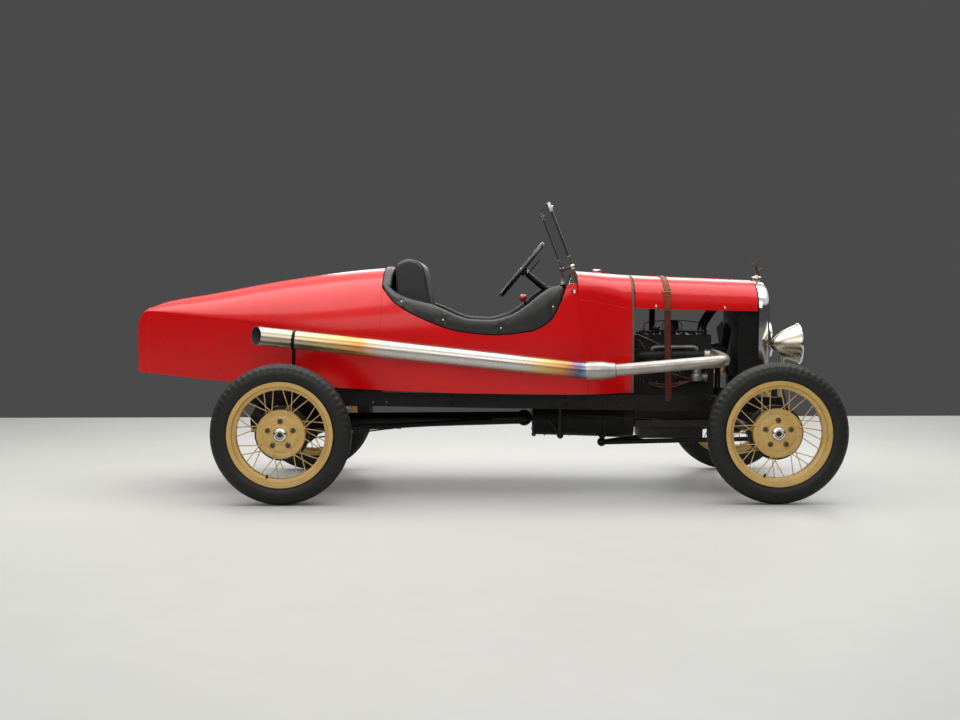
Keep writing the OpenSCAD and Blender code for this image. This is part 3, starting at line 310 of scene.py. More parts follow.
finishes = {
    "redPaint": dict(colour=linear(214, 4, 8), second=linear(198, 2, 5), drift=1.5, rough=(0.22, 0.29),
                     coat=0.16, spec=0.3, bump=0.02, bumpDepth=0.0002, grainScale=60.0, wear=0.06,
                     bare=linear(140, 8, 8), dust=0.012),
    "spokeGold": dict(colour=linear(204, 176, 116), second=linear(182, 152, 90), drift=10.0,
                      rough=(0.34, 0.5), coat=0.3, wear=0.4, bare=linear(120, 100, 70), dust=0.1, bump=0.06),
    "wheelGold": dict(colour=linear(204, 168, 94), second=linear(188, 150, 78), drift=10.0, rough=(0.34, 0.5),
                      coat=0.4, wear=0.5, bare=linear(120, 96, 60), dust=0.25, bump=0.08),
    "tyreRubber": dict(colour=linear(10, 10, 11), second=linear(17, 17, 17), drift=12.0, rough=(0.46, 0.64),
                       spec=0.36, bump=0.3, bumpDepth=0.0008, grainScale=420.0, dust=0.035),
    "chassisBlack": dict(colour=linear(7, 7, 8), second=linear(12, 11, 11), drift=14.0, rough=(0.26, 0.42),
                         spec=0.2, wear=0.25, bare=linear(46, 42, 38), dust=0.015, bump=0.12),
    "drumBlack": dict(colour=linear(16, 15, 15), second=linear(30, 26, 22), drift=16.0, rough=(0.5, 0.75),
                      spec=0.3, wear=0.3, bare=linear(80, 66, 54), dust=0.12, bump=0.25, bumpDepth=0.001),
    "engineGrey": dict(colour=linear(18, 19, 18), second=linear(10, 10, 10), drift=20.0, rough=(0.4, 0.62),
                       spec=0.3, bump=0.5, bumpDepth=0.0012, grainScale=260.0, wear=0.35,
                       bare=linear(70, 64, 56), dust=0.03),
    "gearCase": dict(colour=linear(16, 15, 15), second=linear(9, 8, 8), drift=18.0, rough=(0.45, 0.7),
                     spec=0.25, bump=0.5, bumpDepth=0.0012, wear=0.3, bare=linear(60, 54, 48), dust=0.03),
    "castAlloy": dict(colour=linear(150, 152, 150), second=linear(118, 118, 116), drift=18.0,
                      rough=(0.35, 0.55), metal=0.85, bump=0.4, bumpDepth=0.0008, grainScale=320.0,
                      dust=0.15),
    "pipeSteel": dict(colour=linear(176, 172, 164), second=linear(146, 140, 131), drift=14.0,
                      rough=(0.34, 0.5), metal=0.9, bump=0.12, grainScale=200.0),
    "heatedPipe": dict(colour=linear(188, 182, 174), second=linear(160, 154, 146), drift=10.0,
                       rough=(0.24, 0.36), metal=0.95, bump=0.06, tint=heatTint),
    "coreFins": dict(colour=linear(12, 11, 11), second=linear(7, 7, 7), drift=30.0, rough=(0.5, 0.7),
                     spec=0.25, bump=0.5, bumpDepth=0.002, grainScale=500.0),
    "chromePlate": dict(colour=linear(222, 222, 220), second=linear(206, 206, 206), drift=6.0,
                        rough=(0.05, 0.11), metal=1.0, bump=0.02, dust=0.04),
    "lampNickel": dict(colour=linear(206, 198, 180), second=linear(190, 180, 160), drift=8.0,
                       rough=(0.2, 0.32), metal=1.0, bump=0.01, dust=0.03),
    "brassPlate": dict(colour=linear(158, 118, 70), second=linear(120, 84, 48), drift=30.0,
                       rough=(0.25, 0.42), metal=0.9, bump=0.1, wear=0.4, bare=linear(190, 160, 110)),
    "copperPipe": dict(colour=linear(150, 92, 66), second=linear(96, 60, 44), drift=30.0, rough=(0.3, 0.5),
                       metal=0.9, bump=0.1),
    "nickelPlate": dict(colour=linear(206, 200, 186), second=linear(190, 182, 166), drift=8.0,
                        rough=(0.08, 0.18), metal=1.0, bump=0.03, dust=0.06),
    "agedBronze": dict(colour=linear(84, 66, 46), second=linear(50, 40, 30), drift=40.0, rough=(0.3, 0.5),
                       metal=0.8, bump=0.3, wear=0.7, bare=linear(170, 140, 92)),
    "blackHide": dict(colour=linear(20, 20, 21), second=linear(29, 28, 28), drift=9.0, rough=(0.34, 0.48),
                      grain="hideGrain", grainScale=380.0, bump=0.35, bumpDepth=0.0007, wear=0.12,
                      bare=linear(62, 58, 55), dust=0.04),
    "brownStrap": dict(colour=linear(142, 66, 28), second=linear(108, 48, 20), drift=22.0, rough=(0.4, 0.6),
                       spec=0.25, grain="hideGrain", grainScale=420.0, bump=0.4, bumpDepth=0.0006, wear=0.5,
                       bare=linear(70, 38, 22)),
    # the strap leather made darker: painted shade for the lower straps below the hood shoulder
    "strapPaintedShade": dict(colour=linear(96, 34, 18), second=linear(60, 20, 11), drift=22.0, rough=(0.42, 0.6),
                      spec=0.2, grain="hideGrain", grainScale=420.0, bump=0.4, bumpDepth=0.0006, wear=0.4,
                      bare=linear(52, 26, 18)),
    "finBrass": dict(colour=linear(74, 68, 58), second=linear(50, 46, 40), drift=30.0, rough=(0.4, 0.6),
                     metal=0.6, bump=0.3, grainScale=500.0),
    "firewallBrown": dict(colour=linear(92, 72, 56), second=linear(74, 56, 44), drift=12.0, rough=(0.5, 0.7),
                          wear=0.3, bare=linear(130, 110, 90), bump=0.15),
    "floorBoards": dict(colour=linear(116, 86, 56), second=linear(96, 70, 44), drift=12.0, rough=(0.55, 0.75),
                        bump=0.3, tint=plankLines, dust=0.3),
    "trimCard": dict(colour=linear(34, 33, 32), second=linear(46, 44, 42), drift=10.0, rough=(0.6, 0.8),
                     bump=0.3, grainScale=500.0, dust=0.1),
    "wheelRimBlack": dict(colour=linear(18, 18, 18), second=linear(28, 27, 26), drift=16.0,
                          rough=(0.28, 0.45), bump=0.12, wear=0.2, bare=linear(60, 56, 50)),
    "knobRed": dict(colour=linear(186, 48, 36), second=linear(160, 34, 26), drift=30.0, rough=(0.2, 0.32),
                    coat=0.8, bump=0.03),
    "lampGlass": dict(colour=linear(238, 240, 240), second=linear(224, 230, 230), drift=12.0,
                      rough=(0.03, 0.09), clear=0.9, bump=0.04),
    "screenGlass": dict(colour=linear(246, 248, 247), second=linear(238, 242, 241), drift=4.0,
                        rough=(0.0, 0.03), clear=1.0, bump=0.01),
    "badgeEnamel": dict(colour=linear(236, 234, 228), second=linear(224, 222, 216), drift=40.0,
                        rough=(0.15, 0.25), coat=0.8, bump=0.02),
    "hoseBlack": dict(colour=linear(16, 16, 16), second=linear(26, 25, 24), drift=26.0, rough=(0.6, 0.8),
                      bump=0.4, spec=0.3, grainScale=600.0, dust=0.05),
}
made = {name: finish(name, spec) for name, spec in finishes.items()}
print("finishes built:", len(made))


# mesh building
def newShape():
    return {"points": [], "faces": [], "finish": []}


def addFaces(shape, points, faces, index=0):
    start = len(shape["points"])
    shape["points"] += points
    shape["faces"] += [tuple(start + i for i in face) for face in faces]
    shape["finish"] += [index] * len(faces)


def addLoft(shape, rings, closed=True, caps=True, index=0, wrap=False, across=False):
    count = len(rings[0])
    total = len(rings)
    faces = []
    for i in range(total if wrap else total - 1):
        for j in range(count if closed else count - 1):
            a, b = i * count + j, i * count + (j + 1) % count
            c, d = ((i + 1) % total) * count + (j + 1) % count, ((i + 1) % total) * count + j
            faces.append((a, d, c, b))
    if across:
        # a ring that goes out along one face of a wall and back along the other is closed across the wall
        for first, flip in ((0, False), ((total - 1) * count, True)):
            for j in range(count // 2 - 1):
                face = (first + j, first + j + 1, first + count - 2 - j, first + count - 1 - j)
                faces.append(tuple(reversed(face)) if flip else face)
    elif caps and not wrap:
        faces.append(tuple(range(count)))
        faces.append(tuple((total - 1) * count + j for j in reversed(range(count))))
    addFaces(shape, [tuple(p) for ring in rings for p in ring], faces, index)


def addTube(shape, path, radius, sides=12, index=0, caps=True):
    radii = radius if isinstance(radius, list) else [radius] * len(path)
    points = [Vector(p) for p in path]
    heading = (points[1] - points[0]).normalized()
    across = heading.orthogonal().normalized()
    rings = []
    for i, p in enumerate(points):
        ahead = (points[min(i + 1, len(points) - 1)] - points[max(i - 1, 0)]).normalized()
        across = (across - ahead * across.dot(ahead)).normalized()
        up = ahead.cross(across)
        rings.append([p + radii[i] * (math.cos(t) * across + math.sin(t) * up)
                      for t in (2 * math.pi * j / sides for j in range(sides))])
    addLoft(shape, rings, True, caps, index)


def addTurned(shape, profile, base, axis, segments=64, index=0, closedProfile=False):
    # profile holds (radius, distance along the axis)
    axis = Vector(axis).normalized()
    u = axis.orthogonal().normalized()
    v = axis.cross(u)
    rings = [[Vector(base) + axis * w + (math.cos(t) * u + math.sin(t) * v) * max(r, 0.01)
              for r, w in profile]
             for t in (2 * math.pi * j / segments for j in range(segments))]
    addLoft(shape, rings, closedProfile, False, index, True)


def addBox(shape, low, high, index=0):
    corners = [(x, y, z) for x in (low[0], high[0]) for y in (low[1], high[1]) for z in (low[2], high[2])]
    addFaces(shape, corners, [(0, 1, 3, 2), (4, 6, 7, 5), (0, 4, 5, 1), (2, 3, 7, 6), (0, 2, 6, 4),
                              (1, 5, 7, 3)],
             index)


def makePiece(name, shape, body, looks, stands=(), smooth=35, bevel=0.0):
    mesh = bpy.data.meshes.new(name)
    mesh.from_pydata([toRow(p) for p in shape["points"]], [], shape["faces"])
    for look in looks:
        mesh.materials.append(made[look])
    mesh.polygons.foreach_set("material_index", shape["finish"])
    work = bmesh.new()
    work.from_mesh(mesh)
    bmesh.ops.remove_doubles(work, verts=work.verts, dist=0.00002)
    bmesh.ops.dissolve_degenerate(work, edges=work.edges, dist=0.00002)
    bmesh.ops.recalc_face_normals(work, faces=work.faces)
    work.to_mesh(mesh)
    work.free()
    mesh.shade_smooth()
    mesh.set_sharp_from_angle(angle=math.radians(smooth))
    piece = bpy.data.objects.new(name, mesh)
    bpy.context.scene.collection.objects.link(piece)
    if bevel:
        rounding = piece.modifiers.new("rounding", "BEVEL")
        rounding.width = bevel / 1000
        rounding.segments = 2
        rounding.limit_method = "ANGLE"
        rounding.angle_limit = math.radians(40)
        rounding.harden_normals = True
    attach(piece, body)
    if stands:
        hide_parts(*stands)
    return piece


# the body's lines
def curve(points, x):
    def rise(i):
        return (points[i + 1][1] - points[i][1]) / (points[i + 1][0] - points[i][0])

    def tilt(i):
        if i == 0:
            return rise(0)
        if i == len(points) - 1:
            return rise(i - 1)
        a, b = rise(i - 1), rise(i)
        return 0 if a * b <= 0 else 2 * a * b / (a + b)

    i = 0
    while i < len(points) - 2 and x > points[i + 1][0]:
        i += 1
    h = points[i + 1][0] - points[i][0]
    t = min(1, max(0, (x - points[i][0]) / h))
    return ((2 * t**3 - 3 * t**2 + 1) * points[i][1] + (t**3 - 2 * t**2 + t) * h * tilt(i)
            + (3 * t**2 - 2 * t**3) * points[i + 1][1] + (t**3 - t**2) * h * tilt(i + 1))


bodyPlan = {"wall": 25, "hood": 8, "tuck": 18, "seamSlant": 0.105, "gap": 0.5, "endDepth": 90}
tailX = rearX - 925
tailStart = tailX + bodyPlan["endDepth"]
seatX = rearX + 515
dashX = frontX - 1038
fireX = frontX - 730
hoodRear = fireX + 17
shellX = frontX - 12
shellFront = frontX + 54
hoodFront = shellX - 6
padFront = frontX - 1118
bodyLines = {
    "crown": [(tailStart, 1045), (rearX - 766, 1071), (rearX - 500, 1118), (rearX + 11, 1208),
              (rearX + 463, 1261), (rearX + 570, 1266), (dashX - 34, 1245), (fireX, 1221),
              (shellFront, 1186)],
    "shoulder": [(tailStart, 1022), (rearX - 500, 989), (rearX - 186, 957), (rearX + 57, 924),
                 (rearX + 414, 892), (rearX + 900, 882), (frontX - 1330, 905), (dashX, 1083), (fireX, 1035),
                 (shellFront, 1012)],
    "width": [(tailStart, 100), (rearX - 500, 225), (rearX - 186, 315), (rearX + 57, 385), (rearX + 414, 466),
              (rearX + 650, 500), (frontX - 1400, 508), (dashX - 34, 478), (fireX, 352), (shellFront, 275)],
    "sill": [(tailStart, 664), (rearX - 371, 627), (rearX + 325, 598), (frontX - 1572, 573), (fireX, 561)],
    "square": [(tailStart, 1.45), (rearX + 57, 1.8), (rearX + 570, 2.2), (frontX - 1400, 3), (dashX, 3.6),
               (fireX, 2.9), (shellFront, 2.5)],
    "rim": [(seatX, 1150), (rearX + 588, 1066), (rearX + 729, 984), (rearX + 948, 908), (frontX - 1490, 890),
            (frontX - 1300, 908), (frontX - 1191, 968), (frontX - 1136, 1060), (frontX - 1078, 1168),
            (dashX, 1172)],
    "pad": [(seatX, 1190), (rearX + 620, 1112), (rearX + 803, 1054), (rearX + 1011, 977),
            (frontX - 1518, 973), (frontX - 1410, 998), (frontX - 1325, 1048), (frontX - 1242, 1115),
            (frontX - 1184, 1150), (padFront, 1166)],
}


def line(name, x):
    return curve(bodyLines[name], x)


def railZ(x):
    return 564 - 0.018 * x


def sideY(x, z, inset=0):
    w = line("width", x) - inset
    zs = line("shoulder", x)
    if z <= zs:
        return w - bodyPlan["tuck"] * ((zs - z) / (zs - line("sill", x))) ** 2
    n = line("square", x)
    return w * max(0, 1 - ((z - zs) / (line("crown", x) - inset - zs)) ** n) ** (1 / n)


def arch(x, angle, inset=0):
    w = line("width", x) - inset
    zs = line("shoulder", x)
    h = line("crown", x) - inset - zs
    n = line("square", x)
    c, s = math.cos(math.radians(angle)), math.sin(math.radians(angle))
    return (x, math.copysign(w * abs(c) ** (2 / n), c), zs + h * abs(s) ** (2 / n))


def seamX(x, z):
    return x + min(1, max(0, x / dashX)) * bodyPlan["seamSlant"] * (line("shoulder", dashX) - z)


def wallRing(x, z0, z1):
    # the lower zone keeps its stations where the top of the wall steps up
    wall = bodyPlan["wall"]
    middleZ = min(z1, line("shoulder", x) - bodyPlan["gap"]) - 0.5
    heights = spread(z0, middleZ, 11) + spread(middleZ, z1, 5)[1:]
    return ([(seamX(x, z), sideY(x, z), z) for z in heights]
            + [(seamX(x, z), sideY(x, z, wall), z) for z in reversed(heights)])


def mirrorY(shape):
    return {"points": [(x, -y, z) for x, y, z in shape["points"]],
            "faces": [tuple(reversed(f)) for f in shape["faces"]], "finish": list(shape["finish"])}


def trimInside(shape, count, inner):
    # the inner half of every wall ring takes the second finish
    for k, face in enumerate(shape["faces"]):
        if len(face) == 4 and all(i % count >= inner for i in face):
            shape["finish"][k] = 1


bodySide = newShape()
sideRings = [wallRing(x, line("sill", x), line("shoulder", x) - bodyPlan["gap"])
             for x in spread(tailStart, seatX - 1, 56)]
sideRings += [wallRing(x, line("sill", x), line("rim", x)) for x in spread(seatX, dashX, 84)]
addLoft(bodySide, sideRings, across=True)
trimInside(bodySide, 34, 17)
makePiece("bodySideLeft", bodySide, "chassis", ["redPaint", "trimCard"], ["body_side_left"], 28,
          2)
makePiece("bodySideRight", mirrorY(bodySide), "chassis", ["redPaint", "trimCard"],
          ["body_side_right"], 28, 2)

deck = newShape()
deckAngles = spread(0, 180, 96)
addLoft(deck, [[arch(x, a) for a in deckAngles]
               + [arch(x, a, bodyPlan["wall"] * 0.7) for a in reversed(deckAngles)]
               for x in spread(tailStart, seatX - 1, 56)], across=True)


def endRing(k):
    # the closed nose of the boat tail, upright below endZ
    endZ, endK = 860, 0.96
    c = math.sqrt(1 - k * k)
    w = line("width", tailStart) * c
    zs = endZ + (line("shoulder", tailStart) - endZ) * c
    rise = (line("crown", tailStart) - line("shoulder", tailStart)) * c
    z0 = line("sill", tailStart) + 6 * k
    n = line("square", tailStart)
    x = tailStart - bodyPlan["endDepth"] * k / endK
    lower = [z0 + (zs - z0) * t for t in spread(0, 0.94, 12)]
    right = [(x, -w * (1 - 0.18 * ((zs - z) / (zs - z0)) ** 2), z) for z in lower]
    left = [(x, -y, z) for _, y, z in right]
    over = []
    for a in spread(2, 178, 44):
        ca, sa = math.cos(math.radians(a)), math.sin(math.radians(a))
        over.append((x, math.copysign(w * abs(ca) ** (2 / n), ca), zs + rise * abs(sa) ** (2 / n)))
    return left + over + list(reversed(right))


addLoft(deck, [endRing(0.96 * math.sin(t)) for t in spread(math.pi / 2, 0.004, 26)])
makePiece("tailDeck", deck, "chassis", ["redPaint"], ["tail_deck"], 28, 1.5)

cowlTop = newShape()
addLoft(cowlTop, [[arch(x, a) for a in spread(0, 180, 72)] for x in spread(dashX, fireX, 24)])
makePiece("cowlTop", cowlTop, "chassis", ["redPaint"], ["cowl"], 30, 2)

cowlSide = newShape()
cowlRings = []
for x in spread(dashX, fireX, 20):
    k = (fireX - x) / (fireX - dashX)
    top = line("shoulder", x) - bodyPlan["gap"]
    slant = k * bodyPlan["seamSlant"]
    outer = [(x + slant * (line("shoulder", dashX) - z) + k * bodyPlan["gap"], z)
             for z in spread(line("sill", x), top, 16)]
    cowlRings.append([(px, sideY(x, z), z) for px, z in outer]
                     + [(px, sideY(x, z, bodyPlan["wall"]), z) for px, z in reversed(outer)])
addLoft(cowlSide, cowlRings, across=True)
trimInside(cowlSide, 34, 17)
bothCowlSides = newShape()
for half in (cowlSide, mirrorY(cowlSide)):
    addFaces(bothCowlSides, half["points"], half["faces"])
bothCowlSides["finish"] = cowlSide["finish"] * 2
makePiece("cowlSides", bothCowlSides, "chassis", ["redPaint", "trimCard"], ["cowl_sides"], 28,
          1.5)


def hoodCut(x):
    return math.degrees(math.acos((5 / line("width", x)) ** (line("square", x) / 2)))


hood = newShape()
addLoft(hood, [[arch(x, a) for a in spread(0, hoodCut(x), 44)]
               + [arch(x, a, bodyPlan["hood"]) for a in spread(hoodCut(x), 0, 44)]
               for x in spread(hoodRear, hoodFront, 40)], across=True)
makePiece("hoodLeft", hood, "hood_left", ["redPaint"], ["hood_left"], 28, 1.2)
makePiece("hoodRight", mirrorY(hood), "hood_right", ["redPaint"], ["hood_right"], 28, 1.2)
print("body panels built")


# tyres and wheels; w runs outboard from the wheel's own plane
tyrePlan = {"radius": 375, "width": 115, "bead": 264.3, "blocks": 64, "groove": 4.5}
rimProfile = [(281, -52), (281, -46), (264, -46), (258, -30), (242, -18.4), (242, 18.4), (258, 30), (264, 46),
              (281, 46), (281, 52), (258, 52), (252, 32), (236, 21.4), (236, -21.4), (252, -32), (258, -52)]
hubProfile = [(36, 6), (38, 26), (46, 24), (54, 20.5), (57, 17.5), (60, 20), (86, 17), (90, 13.5), (93, 14),
              (97, 10), (101, 8.6), (104, 10.4), (112, 12), (120, 12.6), (127, 11), (130.5, 6), (130.5, -32),
              (124, -32), (122, -6), (96, -8), (40, -8)]


def tyreShape(x, side):
    shape = newShape()
    plan = tyrePlan
    half = plan["width"] / 2
    steps = plan["blocks"] * 4
    rings = []
    for i in range(steps):
        t = 2 * math.pi * i / steps
        ring = []
        for a in spread(-150, 150, 46):
            b = math.radians(a)
            r = plan["radius"] - half + half * math.cos(b)
            w = half * math.sin(b)
            if abs(a) < 62:
                r = min(r + 0.3 * (1 - math.cos(b)) * half, plan["radius"] - 0.4)
            if any(abs(abs(w) - g) < 2.6 for g in (10, 27)):
                r -= plan["groove"]
            if 36 < abs(a) < 66 and i % 4 in (0, 1):
                r -= plan["groove"] * 0.9
                w *= 0.985
            if 96 < abs(a) < 101 or 118 < abs(a) < 121:
                w *= 1.012
            w = max(-half, min(half, w))
            ring.append((x + r * math.cos(t), side * (wheelY + w), hubZ + r * math.sin(t)))
        ring += [(x + plan["bead"] * math.cos(t), side * (wheelY + w), hubZ + plan["bead"] * math.sin(t))
                 for w in (44, 20, -20, -44)]
        rings.append(ring)
    addLoft(shape, rings, wrap=True)
    return shape


def spokeShape(x, side):
    # two evenly spread rows of fifteen; neighbours in a row lean opposite ways and cross
    shape = newShape()
    rows = [{"start": 112, "hubW": 13, "rimW": -5, "lean": 15, "turn": 3},
            {"start": 128, "hubW": -24, "rimW": 7, "lean": 17, "turn": 15}]
    for row in rows:
        for i in range(15):
            lean = row["lean"] * (1 if i % 2 else -1)
            a, b = math.radians(i * 24 + row["turn"] - lean), math.radians(i * 24 + row["turn"])
            start = (row["start"] * math.cos(a), row["start"] * math.sin(a), row["hubW"])
            end = (240 * math.cos(b), 240 * math.sin(b), row["rimW"])
            path = [mixed(start, end, t) for t in (0, 0.05, 0.12, 0.93, 0.94, 1)]
            addTube(shape, [(x + p[0], side * (wheelY + p[2]), hubZ + p[1]) for p in path],
                    [4.4, 3.6, 2.7, 2.7, 4.4, 4.4], 10)
    return shape


wheelSpots = {"front_left": (frontX, 1), "front_right": (frontX, -1), "rear_left": (rearX, 1),
              "rear_right": (rearX, -1)}
for spot, (x, side) in wheelSpots.items():
    body = "wheel_" + spot
    base, axis = (x, side * wheelY, hubZ), (0, side, 0)
    makePiece("tyreCover_" + spot, tyreShape(x, side), body, ["tyreRubber"], ["tyre_" + spot], 40)
    rim = newShape()
    addTurned(rim, rimProfile, base, axis, 120, 0, True)
    addTurned(rim, [(5.4, -2), (5.4, 22), (4.2, 27), (0.02, 28)],
              (x + 246 * math.cos(4.4), side * (wheelY + 20), hubZ + 246 * math.sin(4.4)),
              (-math.cos(4.4), side * 0.5, -math.sin(4.4)), 12, 1)
    makePiece("wheelRim_" + spot, rim, body, ["wheelGold", "hoseBlack"], ["wheel_" + spot],
              30, 2)
    makePiece("wheelSpokes_" + spot, spokeShape(x, side), body, ["spokeGold"])
    hub = newShape()
    addTurned(hub, hubProfile, base, axis, 96, 0, True)
    makePiece("hubShell_" + spot, hub, body, ["wheelGold"], (), 30, 1.5)
    drum = newShape()
    addTurned(drum, [(24, -38), (24, -32), (145, -32), (145, -50), (142, -52), (145, -54), (145, -66),
                     (142, -68), (145, -70), (145, -84), (138, -84), (138, -38)], base, axis, 96, 0, True)
    makePiece("brakeDrum_" + spot, drum, body, ["drumBlack"], (), 30, 1)
    cap = newShape()
    addTurned(cap, [(0.02, 36.5), (16, 37), (19, 39), (21, 43.5), (24, 44), (31, 41), (36, 36), (38, 30),
                    (38, 22), (35, 18)], base, axis, 64)
    addTurned(cap, [(0.02, 38.4), (13, 38.4), (15, 37)], base, axis, 32, 1)
    for i in range(5):
        t = 2 * math.pi * (i + 0.25) / 5
        nut = (x + 69.85 * math.cos(t), side * wheelY, hubZ + 69.85 * math.sin(t))
        addTurned(cap, [(0.02, 27), (5, 27), (8.6, 24.5), (9, 23), (9, 16), (10.5, 15)], nut, axis, 6, 1)
        addTurned(cap, [(14.5, 18.4), (14.5, 19.8), (10.5, 19.8), (10.5, 18.4)], nut, axis, 28, 1, True)
    makePiece("hubCap_" + spot, cap, body, ["chromePlate", "drumBlack"], (), 30)
print("wheels built")

# padded seat and coaming
seatPlan = {"halfWidth": 353, "channel": 58, "groove": 7, "voxel": 9, "pressure": 4.0, "reach": 16,
            "roll": 20}
cushionPlan = {"halfWidth": 430, "channel": 58, "groove": 6, "voxel": 9, "pressure": 4.0, "reach": 18,
               "roll": 38}


def cutCorners(profile, times):
    for _ in range(times):
        cut = []
        for i, p in enumerate(profile):
            n = profile[(i + 1) % len(profile)]
            cut += [mixed(p, n, 0.22), mixed(p, n, 0.78)]
        profile = cut
    return profile


def pillowShape(profile, halfWidth, roll, shrink):
    # a rolled-end pad across the car; profile holds (x, z)
    cx = sum(p[0] for p in profile) / len(profile)
    cz = sum(p[1] for p in profile) / len(profile)
    rings = []
    ends = [roll * (1 - math.cos(math.radians(a))) for a in (0, 22, 45, 66, 84)]
    offsets = [(halfWidth - e, roll * (1 - math.sqrt(max(0, 1 - ((roll - e) / roll) ** 2)))) for e in ends]
    spots = offsets + [(y, 0) for y in spread(halfWidth - roll, -halfWidth + roll, 24)]
    spots += [(-y, inset) for y, inset in reversed(offsets)]
    for y, inset in spots:
        ring = []
        for x, z in profile:
            away = math.hypot(x - cx, z - cz)
            k = 1 - (inset + shrink) / away
            ring.append((cx + (x - cx) * k, y, cz + (z - cz) * k))
        rings.append(ring)
    shape = newShape()
    addLoft(shape, rings)
    return shape


def sewnPad(name, shape, plan, faceAxis, stands):
    # blown up as cloth between its sewn channels, which are pinned, then the seams are pressed in
    piece = makePiece(name, shape, "chassis", ["blackHide"], stands, 60)
    dg = bpy.context.evaluated_depsgraph_get()
    remesh = piece.modifiers.new("evenMesh", "REMESH")
    remesh.mode = "VOXEL"
    remesh.voxel_size = plan["voxel"] / 1000
    dg.update()
    even = bpy.data.meshes.new_from_object(piece.evaluated_get(dg))
    piece.modifiers.clear()
    piece.data = even
    rest = [v.co.copy() for v in even.vertices]
    normals = [v.normal.copy() for v in even.vertices]
    pitch = plan["channel"] / 1000

    def seamGap(co):
        return abs((co.y + 100 * pitch + pitch / 2) % pitch - pitch / 2)

    def onFace(n):
        return n.x * faceAxis[0] + n.z * faceAxis[1] > 0.45

    pins = piece.vertex_groups.new(name="sewn")
    for i, (co, n) in enumerate(zip(rest, normals)):
        if not onFace(n) or seamGap(co) < 0.0065:
            pins.add([i], 1.0 if not onFace(n) and (n.z < -0.5 or abs(n.x) > 0.5) else 0.9, "REPLACE")
    cloth = piece.modifiers.new("filling", "CLOTH")
    cloth.settings.use_pressure = True
    cloth.settings.uniform_pressure_force = plan["pressure"]
    cloth.settings.vertex_group_mass = "sewn"
    cloth.settings.effector_weights.gravity = 0
    cloth.settings.tension_stiffness = 25
    cloth.settings.compression_stiffness = 25
    cloth.settings.bending_stiffness = 2
    cloth.point_cache.frame_start = 1
    cloth.point_cache.frame_end = 20
    scene = bpy.context.scene
    for step in range(1, 21):
        scene.frame_set(step)
    dg = bpy.context.evaluated_depsgraph_get()
    swollen = piece.evaluated_get(dg).to_mesh()
    moved = [v.co.copy() for v in swollen.vertices]
    piece.evaluated_get(dg).to_mesh_clear()
    piece.modifiers.clear()
    piece.vertex_groups.clear()
    scene.frame_set(1)
    for v, co, new in zip(even.vertices, rest, moved):
        shift = new - co
        if shift.length > plan["reach"] / 1000:
            shift *= plan["reach"] / 1000 / shift.length
        v.co = co + shift
    work = bmesh.new()
    work.from_mesh(even)
    bmesh.ops.subdivide_edges(work, edges=work.edges, cuts=1, use_grid_fill=True, smooth=0.6)
    for v in work.verts:
        v.normal_update()
    for v, n in [(v, v.normal.copy()) for v in work.verts]:
        if onFace(n):
            v.co -= n * plan["groove"] / 1000 * math.exp(-(seamGap(v.co) / 0.0045) ** 2)
    bmesh.ops.smooth_vert(work, verts=work.verts, factor=0.5, use_axis_x=True, use_axis_y=True,
                          use_axis_z=True)
    work.to_mesh(even)
    work.free()
    even.shade_smooth()
    even.materials.clear()
    even.materials.append(made["blackHide"])
    return piece


backBottom = railZ(rearX + 585) + 18.5
backProfile = [(rearX + 798, backBottom), (rearX + 798, backBottom + 200), (rearX + 792, 1050),
               (rearX + 752, 1256), (rearX + 738, 1284), (rearX + 706, 1305), (rearX + 668, 1313),
               (rearX + 640, 1310), (rearX + 600, 1292), (rearX + 586, 1270), (rearX + 585, backBottom)]
sewnPad("seatBackPad", pillowShape(cutCorners(backProfile, 2), seatPlan["halfWidth"], seatPlan["roll"], 4),
        seatPlan, (1, 0.45), ["seat_back"])
cushionBottom = railZ(rearX + 790) + 18.5
cushionProfile = [(rearX + 798.5, cushionBottom), (rearX + 1168, cushionBottom),
                  (rearX + 1168, cushionBottom + 175), (rearX + 1130, cushionBottom + 190),
                  (rearX + 798.5, cushionBottom + 176)]
sewnPad("seatCushionPad", pillowShape(cutCorners(cushionProfile, 3), cushionPlan["halfWidth"],
                                      cushionPlan["roll"], 8),
        cushionPlan, (0.3, 1), ["seat_cushion"])
print("seat padded")

coamingPlan = {"proud": 9, "thick": 44, "stations": 220, "around": 44, "endTaper": 26, "snaps":
               [(-687, 0.5), (-459, 0.42), (-145, 0.42), (138, 0.35)]}


def ovalPoint(t, power=0.62):
    c, s = math.cos(t), math.sin(t)
    return math.copysign(abs(c) ** power, c), math.copysign(abs(s) ** power, s)


def coamingSide(side):
    plan = coamingPlan
    shape = newShape()
    rings = []
    for x in spread(seatX, padFront, plan["stations"]):
        near = min(x - seatX, padFront - x)
        taper = math.sqrt(max(0.04, 1 - (1 - min(1, near / plan["endTaper"])) ** 2))
        z0, z1 = line("rim", x) + 0.5, line("pad", x)
        half, centre = (z1 - z0) / 2 * taper, (z0 + z1) / 2
        ring = []
        for j in range(plan["around"]):
            c, s = ovalPoint(2 * math.pi * j / plan["around"])
            z = centre + half * s
            high = min(1, max(0, (s + 0.75) / 0.95))
            bulge = high * high * (3 - 2 * high)
            y = sideY(x, z) + 1.5 + (plan["proud"] - 1.5) * bulge - plan["thick"] / 2 * (1 - c * taper)
            if c > 0:
                for sx, share in plan["snaps"]:
                    dx, dz = x - sx, z - (z0 + share * (z1 - z0))
                    far = math.hypot(dx, dz)
                    ripple = math.cos(5 * math.atan2(dz, dx) + sx) * math.exp(-((far - 30) / 20) ** 2)
                    y -= 7 * math.exp(-(far / 19) ** 2) - 2.6 * ripple
                y += 1.6 * math.sin(x / 31.0) * math.sin(x / 11.3 + z / 15.0) * (1 - bulge * 0.6)
            ring.append((x, side * y, z))
        rings.append(ring)
    addLoft(shape, rings)
    return shape


